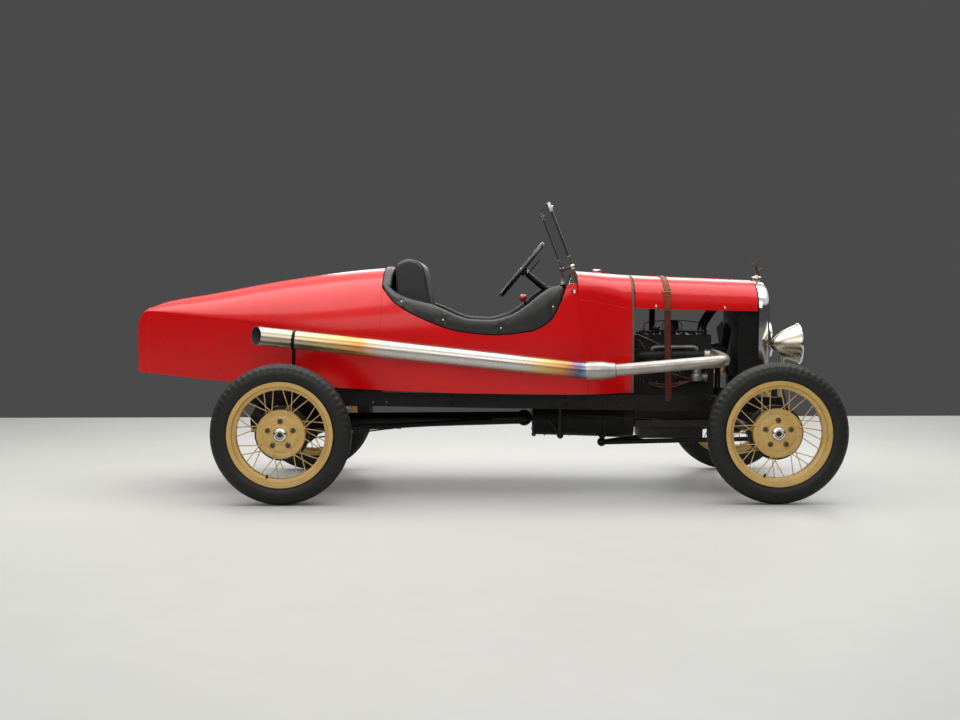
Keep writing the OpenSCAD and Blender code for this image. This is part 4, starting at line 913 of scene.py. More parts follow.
def snapSpot(x, share):
    z0, z1 = line("rim", x) + 0.5, line("pad", x)
    z = z0 + share * (z1 - z0)
    return z, sideY(x, z) + coamingPlan["proud"] - 8.5


for side, word in ((1, "Left"), (-1, "Right")):
    pad = makePiece("coaming" + word, coamingSide(side), "chassis", ["blackHide"],
                    ["coaming_sides"] if side == 1 else (), 60)
    studs = newShape()
    for x, share in coamingPlan["snaps"]:
        z, y = snapSpot(x, share)
        addTurned(studs, [(0.02, 3.4), (3, 3.0), (5.2, 1.6), (6.2, 0), (6.2, -2)], (x, side * y, z),
                  (0, side, 0), 20)
    makePiece("coamingSnaps" + word, studs, "chassis", ["nickelPlate"])

rollPlan = {"depth": 54, "steps": 72, "around": 24, "lap": 0.8, "proud": 9, "thick": 44}
rollBase = line("shoulder", seatX)
rollRise = (line("pad", seatX) + 2 - rollBase) / (line("crown", seatX) - rollBase)
rollStart = rollPlan["lap"] * math.degrees(math.asin(rollRise ** (line("square", seatX) / 2)))
halfDeep = rollPlan["depth"] / 2
rearRoll = newShape()
rollRings = []
for i, a in enumerate(spread(rollStart, 180 - rollStart, rollPlan["steps"])):
    near = min(i, rollPlan["steps"] - i)
    taper = math.sqrt(max(0.05, 1 - (1 - min(1, near / 3)) ** 2))
    tuckIn = 1.2 * math.cos(i * math.pi / 4) ** 8
    ring = []
    for j in range(rollPlan["around"]):
        c, s = ovalPoint(2 * math.pi * j / rollPlan["around"])
        halfThick = rollPlan["thick"] / 2
        inset = halfThick - rollPlan["proud"] - halfThick * c * taper + (tuckIn if c > 0 else 0)
        p = arch(seatX, a, inset)
        ring.append((seatX + halfDeep + (halfDeep - 0.5) * s * taper, p[1], p[2]))
    rollRings.append(ring)
addLoft(rearRoll, rollRings)
makePiece("coamingRoll", rearRoll, "chassis", ["blackHide"], ["coaming_rear"],
                    60)
print("coaming padded")

# hood strap
strapPlan = {"x": frontX - 532, "width": 36, "thick": 4, "buckleZ": 1126, "stitchAt": 14.5, "endGap": 15.9,
             "looseWidth": 34, "looseThick": 3.6, "keeperWidth": 44, "keeperThick": 2.4, "railY": 380.5}


def bandRing(point, width, thick):
    # point(across, out) gives a place on the band; the edges are eased
    ring = []
    for j in range(16):
        c, s = ovalPoint(2 * math.pi * j / 16, 0.35)
        ring.append(point(width / 2 * c, thick / 2 * (1 + s)))
    return ring


def strapHalf(side):
    band = newShape()
    bulge = line("square", strapPlan["x"]) / 2
    top = math.degrees(math.acos((strapPlan["endGap"] / line("width", strapPlan["x"])) ** bulge))

    def overHood(a, lift):
        return lambda across, out: (
            lambda p: (p[0], side * p[1], p[2]))(arch(strapPlan["x"] + across, a, -out - lift))

    addLoft(band, [bandRing(overHood(a, 0.6), strapPlan["width"], strapPlan["thick"])
                   for a in spread(0.01, top, 60)])
    rivet = arch(strapPlan["x"], top - 1.6, -4.4)
    for dx in (-10, 10):
        addTurned(band, [(0.02, 2.2), (3, 1.8), (4.6, 0)], (rivet[0] + dx, side * rivet[1], rivet[2]),
                  (0, 0, 1), 14, 2)
    for edge in (-strapPlan["stitchAt"], strapPlan["stitchAt"]):
        for a in spread(3, top - 2, 52):
            ends = [arch(strapPlan["x"] + edge, a + d, -4.9) for d in (0, 0.55)]
            addTube(band, [(p[0], side * p[1], p[2]) for p in ends], 0.7, 5, 1)
    buckle = newShape()
    if side == -1:
        angle = min(spread(2, 80, 300), key=lambda a: abs(arch(strapPlan["x"], a)[2] - strapPlan["buckleZ"]))
        # the loose end lies over the band below the buckle
        addLoft(band, [bandRing(overHood(a, 4.9), strapPlan["looseWidth"], strapPlan["looseThick"])
                       for a in spread(0.6, angle, 26)])
        for a in (angle - 4, angle - 9):
            addLoft(band, [bandRing(overHood(a + d, 8.6), strapPlan["keeperWidth"], strapPlan["keeperThick"])
                           for d in (-1.3, 0, 1.3)])
        corners = [(-23, -2.6), (-23, 3.2), (23, 3.2), (23, -2.6)]
        frameLine = []
        for (x0, a0), (x1, a1) in zip(corners, corners[1:] + corners[:1]):
            frameLine += [mixed((x0, a0), (x1, a1), t) for t in (0.12, 0.5, 0.88)]
        path = [arch(strapPlan["x"] + dx, angle + da, -11) for dx, da in frameLine + frameLine[:1]]
        addTube(buckle, [(p[0], -p[1], p[2]) for p in path], 2.3, 10)
        prong = [arch(strapPlan["x"], angle + d, -lift)
                 for d, lift in ((3, 11), (1, 13), (-2.2, 12), (-3.2, 10))]
        addTube(buckle, [(p[0], -p[1], p[2]) for p in prong], 1.6, 8)
    return band, buckle


for side, word in ((1, "left"), (-1, "right")):
    band, buckle = strapHalf(side)
    makePiece("hoodStrap_" + word, band, "hood_" + word,
              ["brownStrap", "hoseBlack", "brassPlate"], ["hood_strap_" + word], 50)
    if buckle["points"]:
        makePiece("strapBuckle", buckle, "hood_" + word, ["brassPlate"])

lowerStraps = newShape()
topZ = line("shoulder", strapPlan["x"]) - 6
topY = line("width", strapPlan["x"]) + 0.5
footZ, bendZ = railZ(strapPlan["x"]) - 30, railZ(strapPlan["x"]) + 6
railY = strapPlan["railY"]
for side in (1, -1):
    bends = [(railY, footZ), (railY, bendZ - 14), (railY + (topY - railY) * 0.03, bendZ + 12), (topY, topZ)]
    path = [mixed(a, b, t) for a, b in zip(bends, bends[1:]) for t in spread(0, 1, 8)[:-1]] + [bends[-1]]
    rings = [bandRing(lambda across, out, y=y, z=z: (strapPlan["x"] + across, side * (y + out), z),
                      strapPlan["width"], strapPlan["thick"]) for y, z in path]
    addLoft(lowerStraps, rings)
    for edge in (-strapPlan["stitchAt"], strapPlan["stitchAt"]):
        for z in spread(bendZ + 20, topZ - 8, 38):
            t = (z - bendZ) / (topZ - bendZ)
            y = railY + (topY - railY) * t + 4.2
            addTube(lowerStraps, [(strapPlan["x"] + edge, side * y, z),
                                  (strapPlan["x"] + edge, side * y, z + 5)],
                    0.7, 5, 1)
# the lower straps take the darker copy of the strap leather, painted shade
makePiece("strapLower", lowerStraps, "chassis", ["strapPaintedShade", "hoseBlack"],
          ["strap_anchors"], 50)
print("straps built")

# steering wheel
steerPlan = {"hub": (frontX - 1322, 250, 1258), "tilt": 39, "rim": 195, "grip": 13, "ribs": 36,
             "ribDeep": 0.9, "arms": 4}
columnTurn = math.radians(steerPlan["tilt"])
steerHub = Vector(steerPlan["hub"])
along = Vector((math.cos(columnTurn), 0, -math.sin(columnTurn)))
sideways = Vector((0, 1, 0))
upright = Vector((-math.sin(columnTurn), 0, -math.cos(columnTurn)))


def atColumn(a, b, c):
    return tuple(steerHub + upright * a + sideways * b + along * c)


steering = newShape()
gripRings = []
for i in range(144):
    t = 2 * math.pi * i / 144
    r = steerPlan["grip"] - steerPlan["ribDeep"] * (0.5 + 0.5 * math.cos(t * steerPlan["ribs"]))
    gripRing = []
    for b in (2 * math.pi * j / 20 for j in range(20)):
        away = steerPlan["rim"] + r * math.cos(b)
        gripRing.append(atColumn(away * math.cos(t), away * math.sin(t), r * math.sin(b)))
    gripRings.append(gripRing)
addLoft(steering, gripRings, wrap=True)
for k in range(steerPlan["arms"]):
    t = math.radians(45 + 360 / steerPlan["arms"] * k)
    c, s = math.cos(t), math.sin(t)
    arm = []
    for r, wide, lift in ((22, 13, 16), (60, 10, 12), (110, 8, 7), (160, 8, 4), (188, 10, 2)):
        arm.append([atColumn(r * c - w * s, r * s + w * c, 4 + d - lift * 0.4)
                    for w, d in ((-wide, -1), (-wide * 0.6, -4), (wide * 0.6, -4), (wide, -1), (wide, 2),
                                 (-wide, 2))])
    addLoft(steering, arm)
addTurned(steering, [(0.02, -9), (14, -9), (20, -6), (31, -4), (32, 2), (30, 20), (24, 30), (19, 31),
                     (10, 31)],
          tuple(steerHub), tuple(along), 48)
makePiece("steeringWheelRim", steering, "steering_wheel", ["wheelRimBlack"],
          ["steering_wheel"], 40, 0.8)
levers = newShape()
for across, reachOut in ((-1, 74), (1, 66)):
    addTube(levers, [atColumn(0, across * 16, 44), atColumn(-8, across * reachOut * 0.6, 40),
                     atColumn(-14, across * reachOut, 34)], [3.4, 3, 3.4], 10)
    addTurned(levers, [(0.02, -7), (6, -5), (8, 0), (6, 5), (0.02, 7)],
              atColumn(-15, across * (reachOut + 4), 33), (0, 1, 0), 20)
addTurned(levers, [(0.02, -13), (8, -12), (12, -9), (13, -6)], tuple(steerHub), tuple(along), 24)
makePiece("sparkLever", levers, "chassis", ["nickelPlate"])
print("steering built")

# windscreen
screenPlan = {"half": 438, "height": 374, "tube": 6.6, "corner": 22, "lean": 20.6,
              "pivot": (frontX - 1068, 0, 1262), "knobY": 462, "bead": 2}
leanTurn = math.radians(screenPlan["lean"])
pivot = screenPlan["pivot"]
screenOut = (math.cos(leanTurn), 0, math.sin(leanTurn))


def atScreen(x, y, z):
    return (pivot[0] + x * math.cos(leanTurn) - z * math.sin(leanTurn), y,
            pivot[2] + x * math.sin(leanTurn) + z * math.cos(leanTurn))


border = []
for cy, cz, start in ((1, 1, 0), (-1, 1, 90), (-1, 0, 180), (1, 0, 270)):
    for a in spread(start, start + 90, 6):
        r = screenPlan["corner"]
        y0 = cy * (screenPlan["half"] - r)
        z0 = screenPlan["height"] - r if cz else r
        border.append((y0 + r * math.cos(math.radians(a)), z0 + r * math.sin(math.radians(a))))


def borderOut(i):
    before, after = border[i - 1], border[(i + 1) % len(border)]
    heading = Vector((after[0] - before[0], after[1] - before[1])).normalized()
    return heading.y, -heading.x


frameShape = newShape()
frameRings = []
for i, (y, z) in enumerate(border):
    outY, outZ = borderOut(i)
    ring = []
    for j in range(16):
        c, s = ovalPoint(2 * math.pi * j / 16, 0.8)
        r = screenPlan["tube"]
        ring.append(atScreen(r * s, y + outY * r * c, z + outZ * r * c))
    frameRings.append(ring)
addLoft(frameShape, frameRings, wrap=True)
for side in (1, -1):
    addTurned(frameShape, [(6.5, -7), (11, -7), (12, -5), (12, 5), (11, 7), (6.5, 7)],
              atScreen(0, side * screenPlan["half"], 0), (0, 1, 0), 32, 0, True)
makePiece("screenBorder", frameShape, "windscreen", ["wheelRimBlack"], ["windscreen_frame"],
          45)
bright = newShape()
beadRings = []
for i, (y, z) in enumerate(border):
    outY, outZ = borderOut(i)
    ring = []
    for b in (2 * math.pi * j / 8 for j in range(8)):
        away = 1 + screenPlan["bead"] * math.cos(b)
        ring.append(atScreen(5.6 + screenPlan["bead"] * math.sin(b), y + outY * away, z + outZ * away))
    beadRings.append(ring)
addLoft(bright, beadRings, wrap=True)
for side in (1, -1):
    y = side * screenPlan["half"]
    for z0, z1 in ((322, 371), (26, 62)):
        addLoft(bright, [[atScreen(x, y + w, z) for x, w in ((-9, -9), (9, -9), (9, 9), (-9, 9))]
                         for z in (z0, z1)])
    addTurned(bright, [(0.02, 9), (4, 8.6), (6, 6), (6, -2), (3, -4)], atScreen(9, y, 346), screenOut, 16)
makePiece("screenBrightwork", bright, "windscreen", ["chromePlate"], (), 30, 1.2)
knobs = newShape()
for side in (1, -1):
    addTurned(knobs, [(0.02, 14), (6, 13.6), (8, 12), (13, 11), (15, 8), (15, 3), (12, 1), (12, -3)],
              (pivot[0], side * screenPlan["knobY"], pivot[2]), (0, side, 0), 14)
makePiece("screenKnobs", knobs, "chassis", ["nickelPlate"])
print("windscreen built")

# radiator

nosePlan = {"half": 275, "low": 640, "spring": 1012, "top": 1186, "taper": 16, "power": 0.8, "coreHalf": 237}


def noseOutline(inset, count=72):
    w = nosePlan["half"] - inset
    edge = [(-(w - nosePlan["taper"]), nosePlan["low"]), (w - nosePlan["taper"], nosePlan["low"])]
    for a in spread(0, 180, count):
        c, s = math.cos(math.radians(a)), math.sin(math.radians(a))
        high = nosePlan["top"] - inset - nosePlan["spring"]
        edge.append((math.copysign(w * abs(c) ** nosePlan["power"], c),
                     nosePlan["spring"] + high * abs(s) ** nosePlan["power"]))
    return edge


shellSection = [(shellX, 38), (shellX, 6), (shellX + 2, 1), (shellX + 8, 0), (shellX + 34, 0),
                (shellX + 48, 2.5), (shellX + 58, 8), (shellX + 64, 16), (shellFront, 26), (shellFront, 33),
                (shellFront - 3, 37), (shellFront - 10, 38)]
shell = newShape()
outlines = [noseOutline(inset) for _, inset in shellSection]
addLoft(shell, [[(shellSection[k][0], outlines[k][i][0], outlines[k][i][1]) for k in range(len(shellSection))]
                for i in range(len(outlines[0]))], wrap=True)
makePiece("radiatorShellPlated", shell, "chassis", ["chromePlate"], ["radiator_shell"], 50)

grille = newShape()
for y in spread(-222, 222, 48):
    reachUp = max(0.0, 1 - (abs(y) / nosePlan["coreHalf"]) ** 2.5) ** 0.4
    addTube(grille, [(shellFront - 21, y, 650), (shellFront - 21, y, nosePlan["spring"] + 134 * reachUp)],
            2.4, 8)
for z in spread(652, 1136, 96):
    wide = 220
    if z >= nosePlan["spring"]:
        wide = nosePlan["coreHalf"] * max(0.0, 1 - ((z - nosePlan["spring"]) / 136) ** 2.5) ** 0.4 - 6
    if wide > 20:
        addBox(grille, (shellFront - 26, -wide, z), (shellFront - 19.4, wide, z + 0.9))
makePiece("radiatorTubes", grille, "chassis", ["finBrass"], (), 30)

capX, capZ = frontX + 30, 1186.3
topCap = newShape()
addTurned(topCap, [(19, 0), (22, 2), (20, 8), (24, 10), (33, 11), (33.5, 16), (31, 22), (22, 25), (12, 27),
                   (10, 31), (0.02, 32)], (capX, 0, capZ), (0, 0, 1), 12)
branches = [
    ([(0, 30), (5, 46), (4, 62), (-4, 80), (-16, 96), (-30, 106)], [8, 9, 7.5, 6, 3.6, 1], 16),
    ([(4, 52), (13, 64), (23, 70), (33, 70)], [6, 4.4, 2.6, 0.8], 12),
    ([(1, 66), (4, 86), (0, 104), (-6, 117)], [5, 3.6, 2, 0.7], 12),
]
for path, radii, sides in branches:
    addTube(topCap, [(capX + x, 0, capZ + z) for x, z in path], radii, sides, 1)
makePiece("radiatorOrnament", topCap, "chassis", ["nickelPlate", "agedBronze"], ["radiator_cap"],
          40)
print("radiator built")

# headlamps
lampPlan = {"x": frontX + 188, "y": 380, "z": 837, "tilt": 2, "barZ": 668, "barHalf": 390, "footY": 357,
            "lens": 102.5, "flutes": 13, "around": 120}
lampTurn = math.radians(lampPlan["tilt"])
lampAim = (math.cos(lampTurn), 0, math.sin(lampTurn))
post = lampPlan["x"] - 92
barZ = lampPlan["barZ"]
bells, lampRims, lampLenses = newShape(), newShape(), newShape()
for side in (1, -1):
    base = (lampPlan["x"], side * lampPlan["y"], lampPlan["z"])
    addTurned(bells, [(0.02, -158), (9, -157), (20, -152), (33, -143), (47, -129), (60, -111), (73, -90),
                      (84, -68), (94, -46), (102, -27), (107, -13), (103, -12), (88, -40), (64, -84),
                      (34, -124), (0.02, -138)],
              base, lampAim, 120)
    addTurned(lampRims, [(104, -16), (111, -16), (113, -12), (113, -4), (111, 0), (106, 0.6), (103, -3),
                         (103, -10)],
              base, lampAim, 80, 0, True)
    addTurned(lampRims, [(0.02, -40), (5, -42), (8, -50), (8, -70), (12, -100)], base, lampAim, 20)
    rings = []
    lensR = lampPlan["lens"]
    for r in spread(0.02, lensR, 22):
        ring = []
        for j in range(lampPlan["around"]):
            t = 2 * math.pi * j / lampPlan["around"]
            y = r * math.cos(t)
            flute = 0.9 * math.cos(2 * math.pi * y / lampPlan["flutes"]) * min(1, (lensR - r) / 12)
            w = -8 + 6.5 * (1 - (r / lensR) ** 2) + flute
            up = r * math.sin(t)
            ring.append((base[0] + w * lampAim[0] - up * lampAim[2], base[1] + y, base[2] + w * lampAim[2]
                         + up * lampAim[0]))
        rings.append(ring)
    addLoft(lampLenses, rings, True, False)
    postY, footY = side * lampPlan["y"], side * lampPlan["footY"]
    addTube(bells, [(post, postY, barZ), (post, postY, 720), (post + 2, postY, 776)], [13, 11, 17], 24)
    addBox(bells, (frontX + 76, footY - 10, railZ(frontX + 100) + 1), (frontX + 100, footY + 10, barZ))
    addTurned(bells, [(13, -6), (18, -5), (18, 5), (13, 6)], (post, postY, barZ), (0, 1, 0), 6)
barHalf = lampPlan["barHalf"]
addTube(bells, [(post, y, barZ + 3 * math.cos(y / barHalf * math.pi / 2))
                for y in spread(-barHalf, barHalf, 20)], 13, 24)
makePiece("lampBells", bells, "chassis", ["lampNickel"], ["headlamps"], 40)
makePiece("lampRims", lampRims, "chassis", ["chromePlate"], (), 40)
makePiece("lampLenses", lampLenses, "chassis", ["lampGlass"], ["headlamp_lenses"], 60)
print("lamps built")

# exhaust
pipePlan = {"y": -568, "kneeZ": 747, "collarZ": 703, "throatZ": 701, "mouthZ": 893, "radius": 33, "slant": 35,
            "wide": 45.5, "flare": 5.5, "hangerAt": 0.885}
pipeY = pipePlan["y"]
elbowX = frontX - 300
knee = (elbowX - 10.5, pipeY, pipePlan["kneeZ"])
collar = (frontX - 842, pipeY, pipePlan["collarZ"])
throat = (frontX - 1004, pipeY, pipePlan["throatZ"])
mouth = (rearX - 150, pipeY, pipePlan["mouthZ"])


def bend(a, b, c, share=0.5, count=12):
    p, q = mixed(b, a, share), mixed(b, c, share)
    return [tuple((1 - t) ** 2 * u + 2 * t * (1 - t) * v + t * t * w for u, v, w in zip(p, b, q))
            for t in spread(0, 1, count)]


pipe = newShape()
addTube(pipe, [mixed(collar, knee, t) for t in spread(0, 1, 14)], pipePlan["radius"], 40, 1)
sleeve = [mixed(throat, collar, t) for t in (-0.02, 0.04, 0.1, 0.3, 0.55, 0.75, 0.93, 0.97, 1.0)]
addTube(pipe, sleeve, [46.5, 49.5, 50, 50, 49, 43, 40, 39.5, 34], 40, 1)
for t, seam in ((0.1, 51.3), (0.93, 41.5)):
    addTube(pipe, [mixed(throat, collar, t - 0.012), mixed(throat, collar, t + 0.012)], seam, 40, 1)
axis = (Vector(mouth) - Vector(throat)).normalized()
flat = Vector((0, 1, 0))
rise = axis.cross(flat)
# the outside, then back along the inside from the slanted mouth
hollow = [(s, pipePlan["wide"] + pipePlan["flare"] * s, True) for s in spread(0, 1, 30)]
hollow += [(1, 46.8, True), (0.97, 46.4, True), (0.9, 46, False), (0.8, 45, False)]
mouthSlope = math.tan(math.radians(pipePlan["slant"]))
length = (Vector(mouth) - Vector(throat)).length
rings = []
for s, r, slash in hollow:
    ring = []
    for j in range(48):
        t = 2 * math.pi * j / 48
        side = r * math.cos(t)
        slide = side * mouthSlope * max(0, (s - 0.9) / 0.1) if slash and s > 0.9 else 0
        ring.append(Vector(throat) + axis * (s * length + slide) + flat * side + rise * (r * math.sin(t)))
    rings.append(ring)
addLoft(pipe, rings[:32], True, False, 0)
addLoft(pipe, rings[31:], True, False, 2)
addFaces(pipe, [tuple(p) for p in rings[-1]], [tuple(range(48))], 2)
makePiece("bigPipe", pipe, "chassis", ["heatedPipe", "pipeSteel", "drumBlack"],
          ["tailpipe"], 35)

hanger = newShape()
hangerPlan = {"inner": 50.3, "outer": 54, "half": 9}
centre = Vector(throat) + axis * (pipePlan["hangerAt"] * length)
inner, outer, half = hangerPlan["inner"], hangerPlan["outer"], hangerPlan["half"]
section = [(inner, -half), (outer - 1, -half), (outer, -half + 1), (outer, half - 1), (outer - 1, half),
           (inner, half)]
addTurned(hanger, section, tuple(centre), tuple(axis), 56, 0, True)
drop = [(centre.x - 1, pipeY + 2, centre.z - 50), (-1263, pipeY + 6, 790), (-1267, pipeY + 20, 700),
        (-1268, -455, 600), (-1268, -386, 560)]
addLoft(hanger, [[(x + w, y + d, z) for w, d in ((-10, -3), (10, -3), (10, 3), (-10, 3))]
                 for x, y, z in drop])
addTurned(hanger, [(0.02, 6), (6, 6), (7, 4), (7, 0)], (centre.x, pipeY - 2, centre.z - 62), (0, -1, 0), 6)
makePiece("pipeHanger", hanger, "chassis", ["chassisBlack"], (), 35, 0.8)

engineRear, engineFront = frontX - 690, frontX - 240
manifoldPlan = {"y": -243, "z": 770, "face": -146, "ports": (40, 150, 260, 400)}
logY, logZ, faceY = manifoldPlan["y"], manifoldPlan["z"], manifoldPlan["face"]
headerX = frontX - 254
fall = (knee[2] - collar[2]) / (elbowX - 10 - collar[0])
pipeEnd = (elbowX - 10, pipeY, knee[2])
turnOut = (pipeEnd[0] + 66, pipeY, knee[2] + 66 * fall)
startAt, turnIn = (headerX - 60, logY, 768), (headerX + 10, logY, 765)
manifold = newShape()
sweep = [startAt] + bend(startAt, turnIn, turnOut) + bend(turnIn, turnOut, pipeEnd)[1:] + [pipeEnd]
addTube(manifold, sweep, pipePlan["radius"], 40)
addTube(manifold, [(x, logY, logZ) for x in spread(engineRear + 6, headerX - 20, 10)],
        [18] + [26] * 9 + [29], 28, 1)
for port in manifoldPlan["ports"]:
    x = engineRear + port
    branch = [(x, faceY, logZ), (x, faceY - 24, logZ + 2), (x, faceY - 59, logZ + 3), (x, logY, logZ)]
    addTube(manifold, branch, [22, 20, 20, 24], 20, 1)
    addTube(manifold, [(x, faceY, logZ), (x, faceY - 9, logZ)], 31, 20, 1)
    for dz in (-24, 24):
        addTurned(manifold, [(0.02, 9), (6, 9), (7, 7), (7, 0)], (x, faceY - 9, logZ + dz), (0, -1, 0), 6, 1)
makePiece("exhaustManifold", manifold, "chassis", ["pipeSteel", "engineGrey"],
          ["exhaust_header"], 35)
print("exhaust built")

# intake, carburettor and small engine parts
intakePlan = {"y": -193, "left": frontX - 600, "right": frontX - 346, "low": 735, "high": 812, "bowl": 700,
              "radius": 14}
intakeY, leftX, rightX = intakePlan["y"], intakePlan["left"], intakePlan["right"]
legs = [(leftX, faceY, intakePlan["low"]), (leftX, intakeY, intakePlan["low"]),
        (leftX, intakeY, intakePlan["high"]), (rightX, intakeY, intakePlan["high"]),
        (rightX, intakeY, intakePlan["bowl"])]
route = [legs[0]] + bend(legs[0], legs[1], legs[2], 0.5, 8) + bend(legs[1], legs[2], legs[3], 0.16, 10)
route += bend(legs[2], legs[3], legs[4], 0.14, 10) + [legs[4]]
clean = [route[0]] + [p for a, p in zip(route, route[1:]) if math.dist(a, p) > 1]
intake = newShape()
addTube(intake, clean, intakePlan["radius"], 24)
addTube(intake, [(rightX, intakeY, z) for z in (712, 700, 660, 640)], [24, 30, 27, 30], 28)
bowl = ((618, 30), (622, 36), (650, 38), (662, 34), (668, 26))
addLoft(intake, [[(rightX + r * math.cos(math.radians(a)), intakeY + r * math.sin(math.radians(a)), z)
                  for a in spread(0, 345, 23)] for z, r in bowl])
addTube(intake, [(rightX, intakeY, 760), (rightX, -170, 760), (rightX, faceY, 760)], 17, 20)
addTube(intake, [(rightX + 30, intakeY - 4, 644), (rightX + 60, intakeY - 10, 642)], [20, 25], 24)
for x in (leftX, rightX):
    addTube(intake, [(x, faceY, 748), (x, faceY - 8, 748)], 28, 20)
makePiece("intakeCasting", intake, "chassis", ["castAlloy"], ["intake_pipe"], 40)

headPlan = {"top": 880, "bolts": 7, "boltGap": 61, "boltRows": (-96, 96, 0), "plugs": 4, "plugGap": 108,
            "plugY": -52, "lead": 2.6, "leadRing": 24}
headTop, plugY = headPlan["top"], headPlan["plugY"]
small = newShape()
# head nuts, left out where the distributor stands
for i in range(headPlan["bolts"]):
    for y in headPlan["boltRows"]:
        if y == 0 and i in (2, 3):
            continue
        addTurned(small, [(0.02, 16), (4, 16), (5, 12), (8, 11), (8.6, 9), (8.6, 0)],
                  (engineRear + 40 + i * headPlan["boltGap"], y, headTop - 1), (0, 0, 1), 6, 0)
# spark plugs, and a lead to each from the distributor
plugX = [engineRear + 62 + i * headPlan["plugGap"] for i in range(headPlan["plugs"])]
for x in plugX:
    addTurned(small, [(0.02, 46), (3, 46), (3, 38), (6, 37), (7, 26), (6.5, 14), (11, 13), (11, 6), (13, 5),
                      (13, 0)], (x, plugY, headTop - 1), (0, 0, 1), 12, 1)
distributor = (engineRear + 230, 0, headTop + 70)
for k, x in enumerate(plugX):
    t = k * 1.57
    start = (distributor[0] + headPlan["leadRing"] * math.cos(t), headPlan["leadRing"] * math.sin(t),
             distributor[2] - 6)
    rise = (start[0], start[1], start[2] + 20)
    above, end = (x, plugY, headTop + 70), (x, plugY, headTop + 44)
    addTube(small, [start] + bend(start, rise, above, 0.5, 6) + bend(rise, above, end, 0.5, 6) + [end],
            headPlan["lead"], 8, 2)
addTurned(small, [(0.02, 8), (10, 6), (22, 2), (34, 0), (37, -6), (37, -12)], distributor, (0, 0, 1), 28, 2)
# side covers with their screws, pan bolts and core plugs
for side in (-1, 1):
    for x0 in (engineRear + 34, engineRear + 240):
        addLoft(small, [[(x0 + x, side * (144 + d), z)
                         for x, z in ((0, 606), (176, 606), (176, 676), (0, 676))]
                        for d in (0.4, 6)], index=0)
        for x in (14, 88, 162):
            for z in (614, 668):
                addTurned(small, [(0.02, 5), (4, 5), (5, 4), (5, 0)], (x0 + x, side * 150, z), (0, side, 0),
                          6, 1)
    for x in range(9):
        addTurned(small, [(0.02, 6), (5, 6), (6, 5), (6, 0)], (engineRear + 24 + x * 50, side * 150, 528),
                  (0, side, 0), 6, 0)
    for x in (engineRear + 90, engineRear + 226, engineRear + 362):
        addTurned(small, [(0.02, 2), (17, 2), (20, 3.4), (20, 0)], (x, side * 146, 706), (0, side, 0), 28, 0)
# fuel line, throttle rod, wire loops and the lead tube along the head
addTube(small, [(fireX + 4, -180, 860), (fireX + 60, -186, 852), (engineRear + 120, -196, 690),
                (rightX - 70, -202, 640), (rightX - 34, -198, 632)], 3.2, 8, 3)
addTube(small, [(fireX + 4, -150, 905), (engineRear + 90, -170, 850), (rightX - 40, -176, 742),
                (rightX, -176, 726)], 2.6, 8, 1)
for drop, lean in ((52, 0), (74, 16)):
    start, low, turn = (fireX + 10, -176, 640), (engineRear + 180, -184, 640 - drop), (rightX - 30, -180, 628)
    out, end = (rightX + 60, -178 - lean, 640), (rightX + 20, -170, 690)
    addTube(small, bend(start, low, turn, 0.5, 16) + bend(turn, out, end, 0.5, 10), 2.2, 8, 3)
addTube(small, [(engineRear + 20, -158, 900), (engineRear + 200, -160, 903), (engineFront - 40, -158, 896)],
        5, 10, 0)
# oil filler
addTube(small, [(engineRear + 150, 60, headTop + 2), (engineRear + 150, 60, headTop + 34)], 17, 20, 0)
addTurned(small, [(0.02, 44), (20, 43), (23, 40), (23, 32), (17, 30)], (engineRear + 150, 60, headTop),
          (0, 0, 1), 24, 1)
makePiece("headFittings", small, "chassis",
          ["chassisBlack", "castAlloy", "hoseBlack", "copperPipe"], (), 40)

beltPlan = {"x": engineFront + 47, "half": 8, "thick": 0.06,
            "pulleys": [{"z": 790, "radius": 36, "arc": (-10, 190)},
                        {"z": 445, "radius": 60, "arc": (190, 350)}]}
belt = newShape()
beltRings = []
for pulley in beltPlan["pulleys"]:
    for a in spread(*pulley["arc"], 16):
        y, up = pulley["radius"] * math.cos(math.radians(a)), pulley["radius"] * math.sin(math.radians(a))
        near, far = beltPlan["x"] - beltPlan["half"], beltPlan["x"] + beltPlan["half"]
        outY, outZ = y * (1 + beltPlan["thick"]), pulley["z"] + up * (1 + beltPlan["thick"])
        beltRings.append([(near, y, pulley["z"] + up), (far, y, pulley["z"] + up), (far, outY, outZ),
                          (near, outY, outZ)])
addLoft(belt, beltRings, wrap=True)
makePiece("fanBelt", belt, "chassis", ["hoseBlack"], (), 50)

dynamoPlan = {"x": engineFront - 150, "y": 200, "z": 700, "bands": (-60, 60)}
dynamoX, dynamoY, dynamoZ = dynamoPlan["x"], dynamoPlan["y"], dynamoPlan["z"]
dynamo = newShape()
addTurned(dynamo, [(0.02, 96), (20, 96), (44, 92), (50, 84), (50, -60), (44, -72), (18, -76), (0.02, -76)],
          (dynamoX, dynamoY, dynamoZ), (1, 0, 0), 48)
for x in dynamoPlan["bands"]:
    addTurned(dynamo, [(51.5, -8), (51.5, 8), (50, 8), (50, -8)], (dynamoX + x, dynamoY, dynamoZ),
              (1, 0, 0), 48, 0, True)
addLoft(dynamo, [[(dynamoX - 40 + x, y, dynamoZ - 40 + z) for x, z in ((0, 0), (80, 0), (80, 26), (0, 26))]
                 for y in (144, 180)])
makePiece("dynamo", dynamo, "chassis", ["chassisBlack"], (), 35, 1.2)
print("engine detail built")

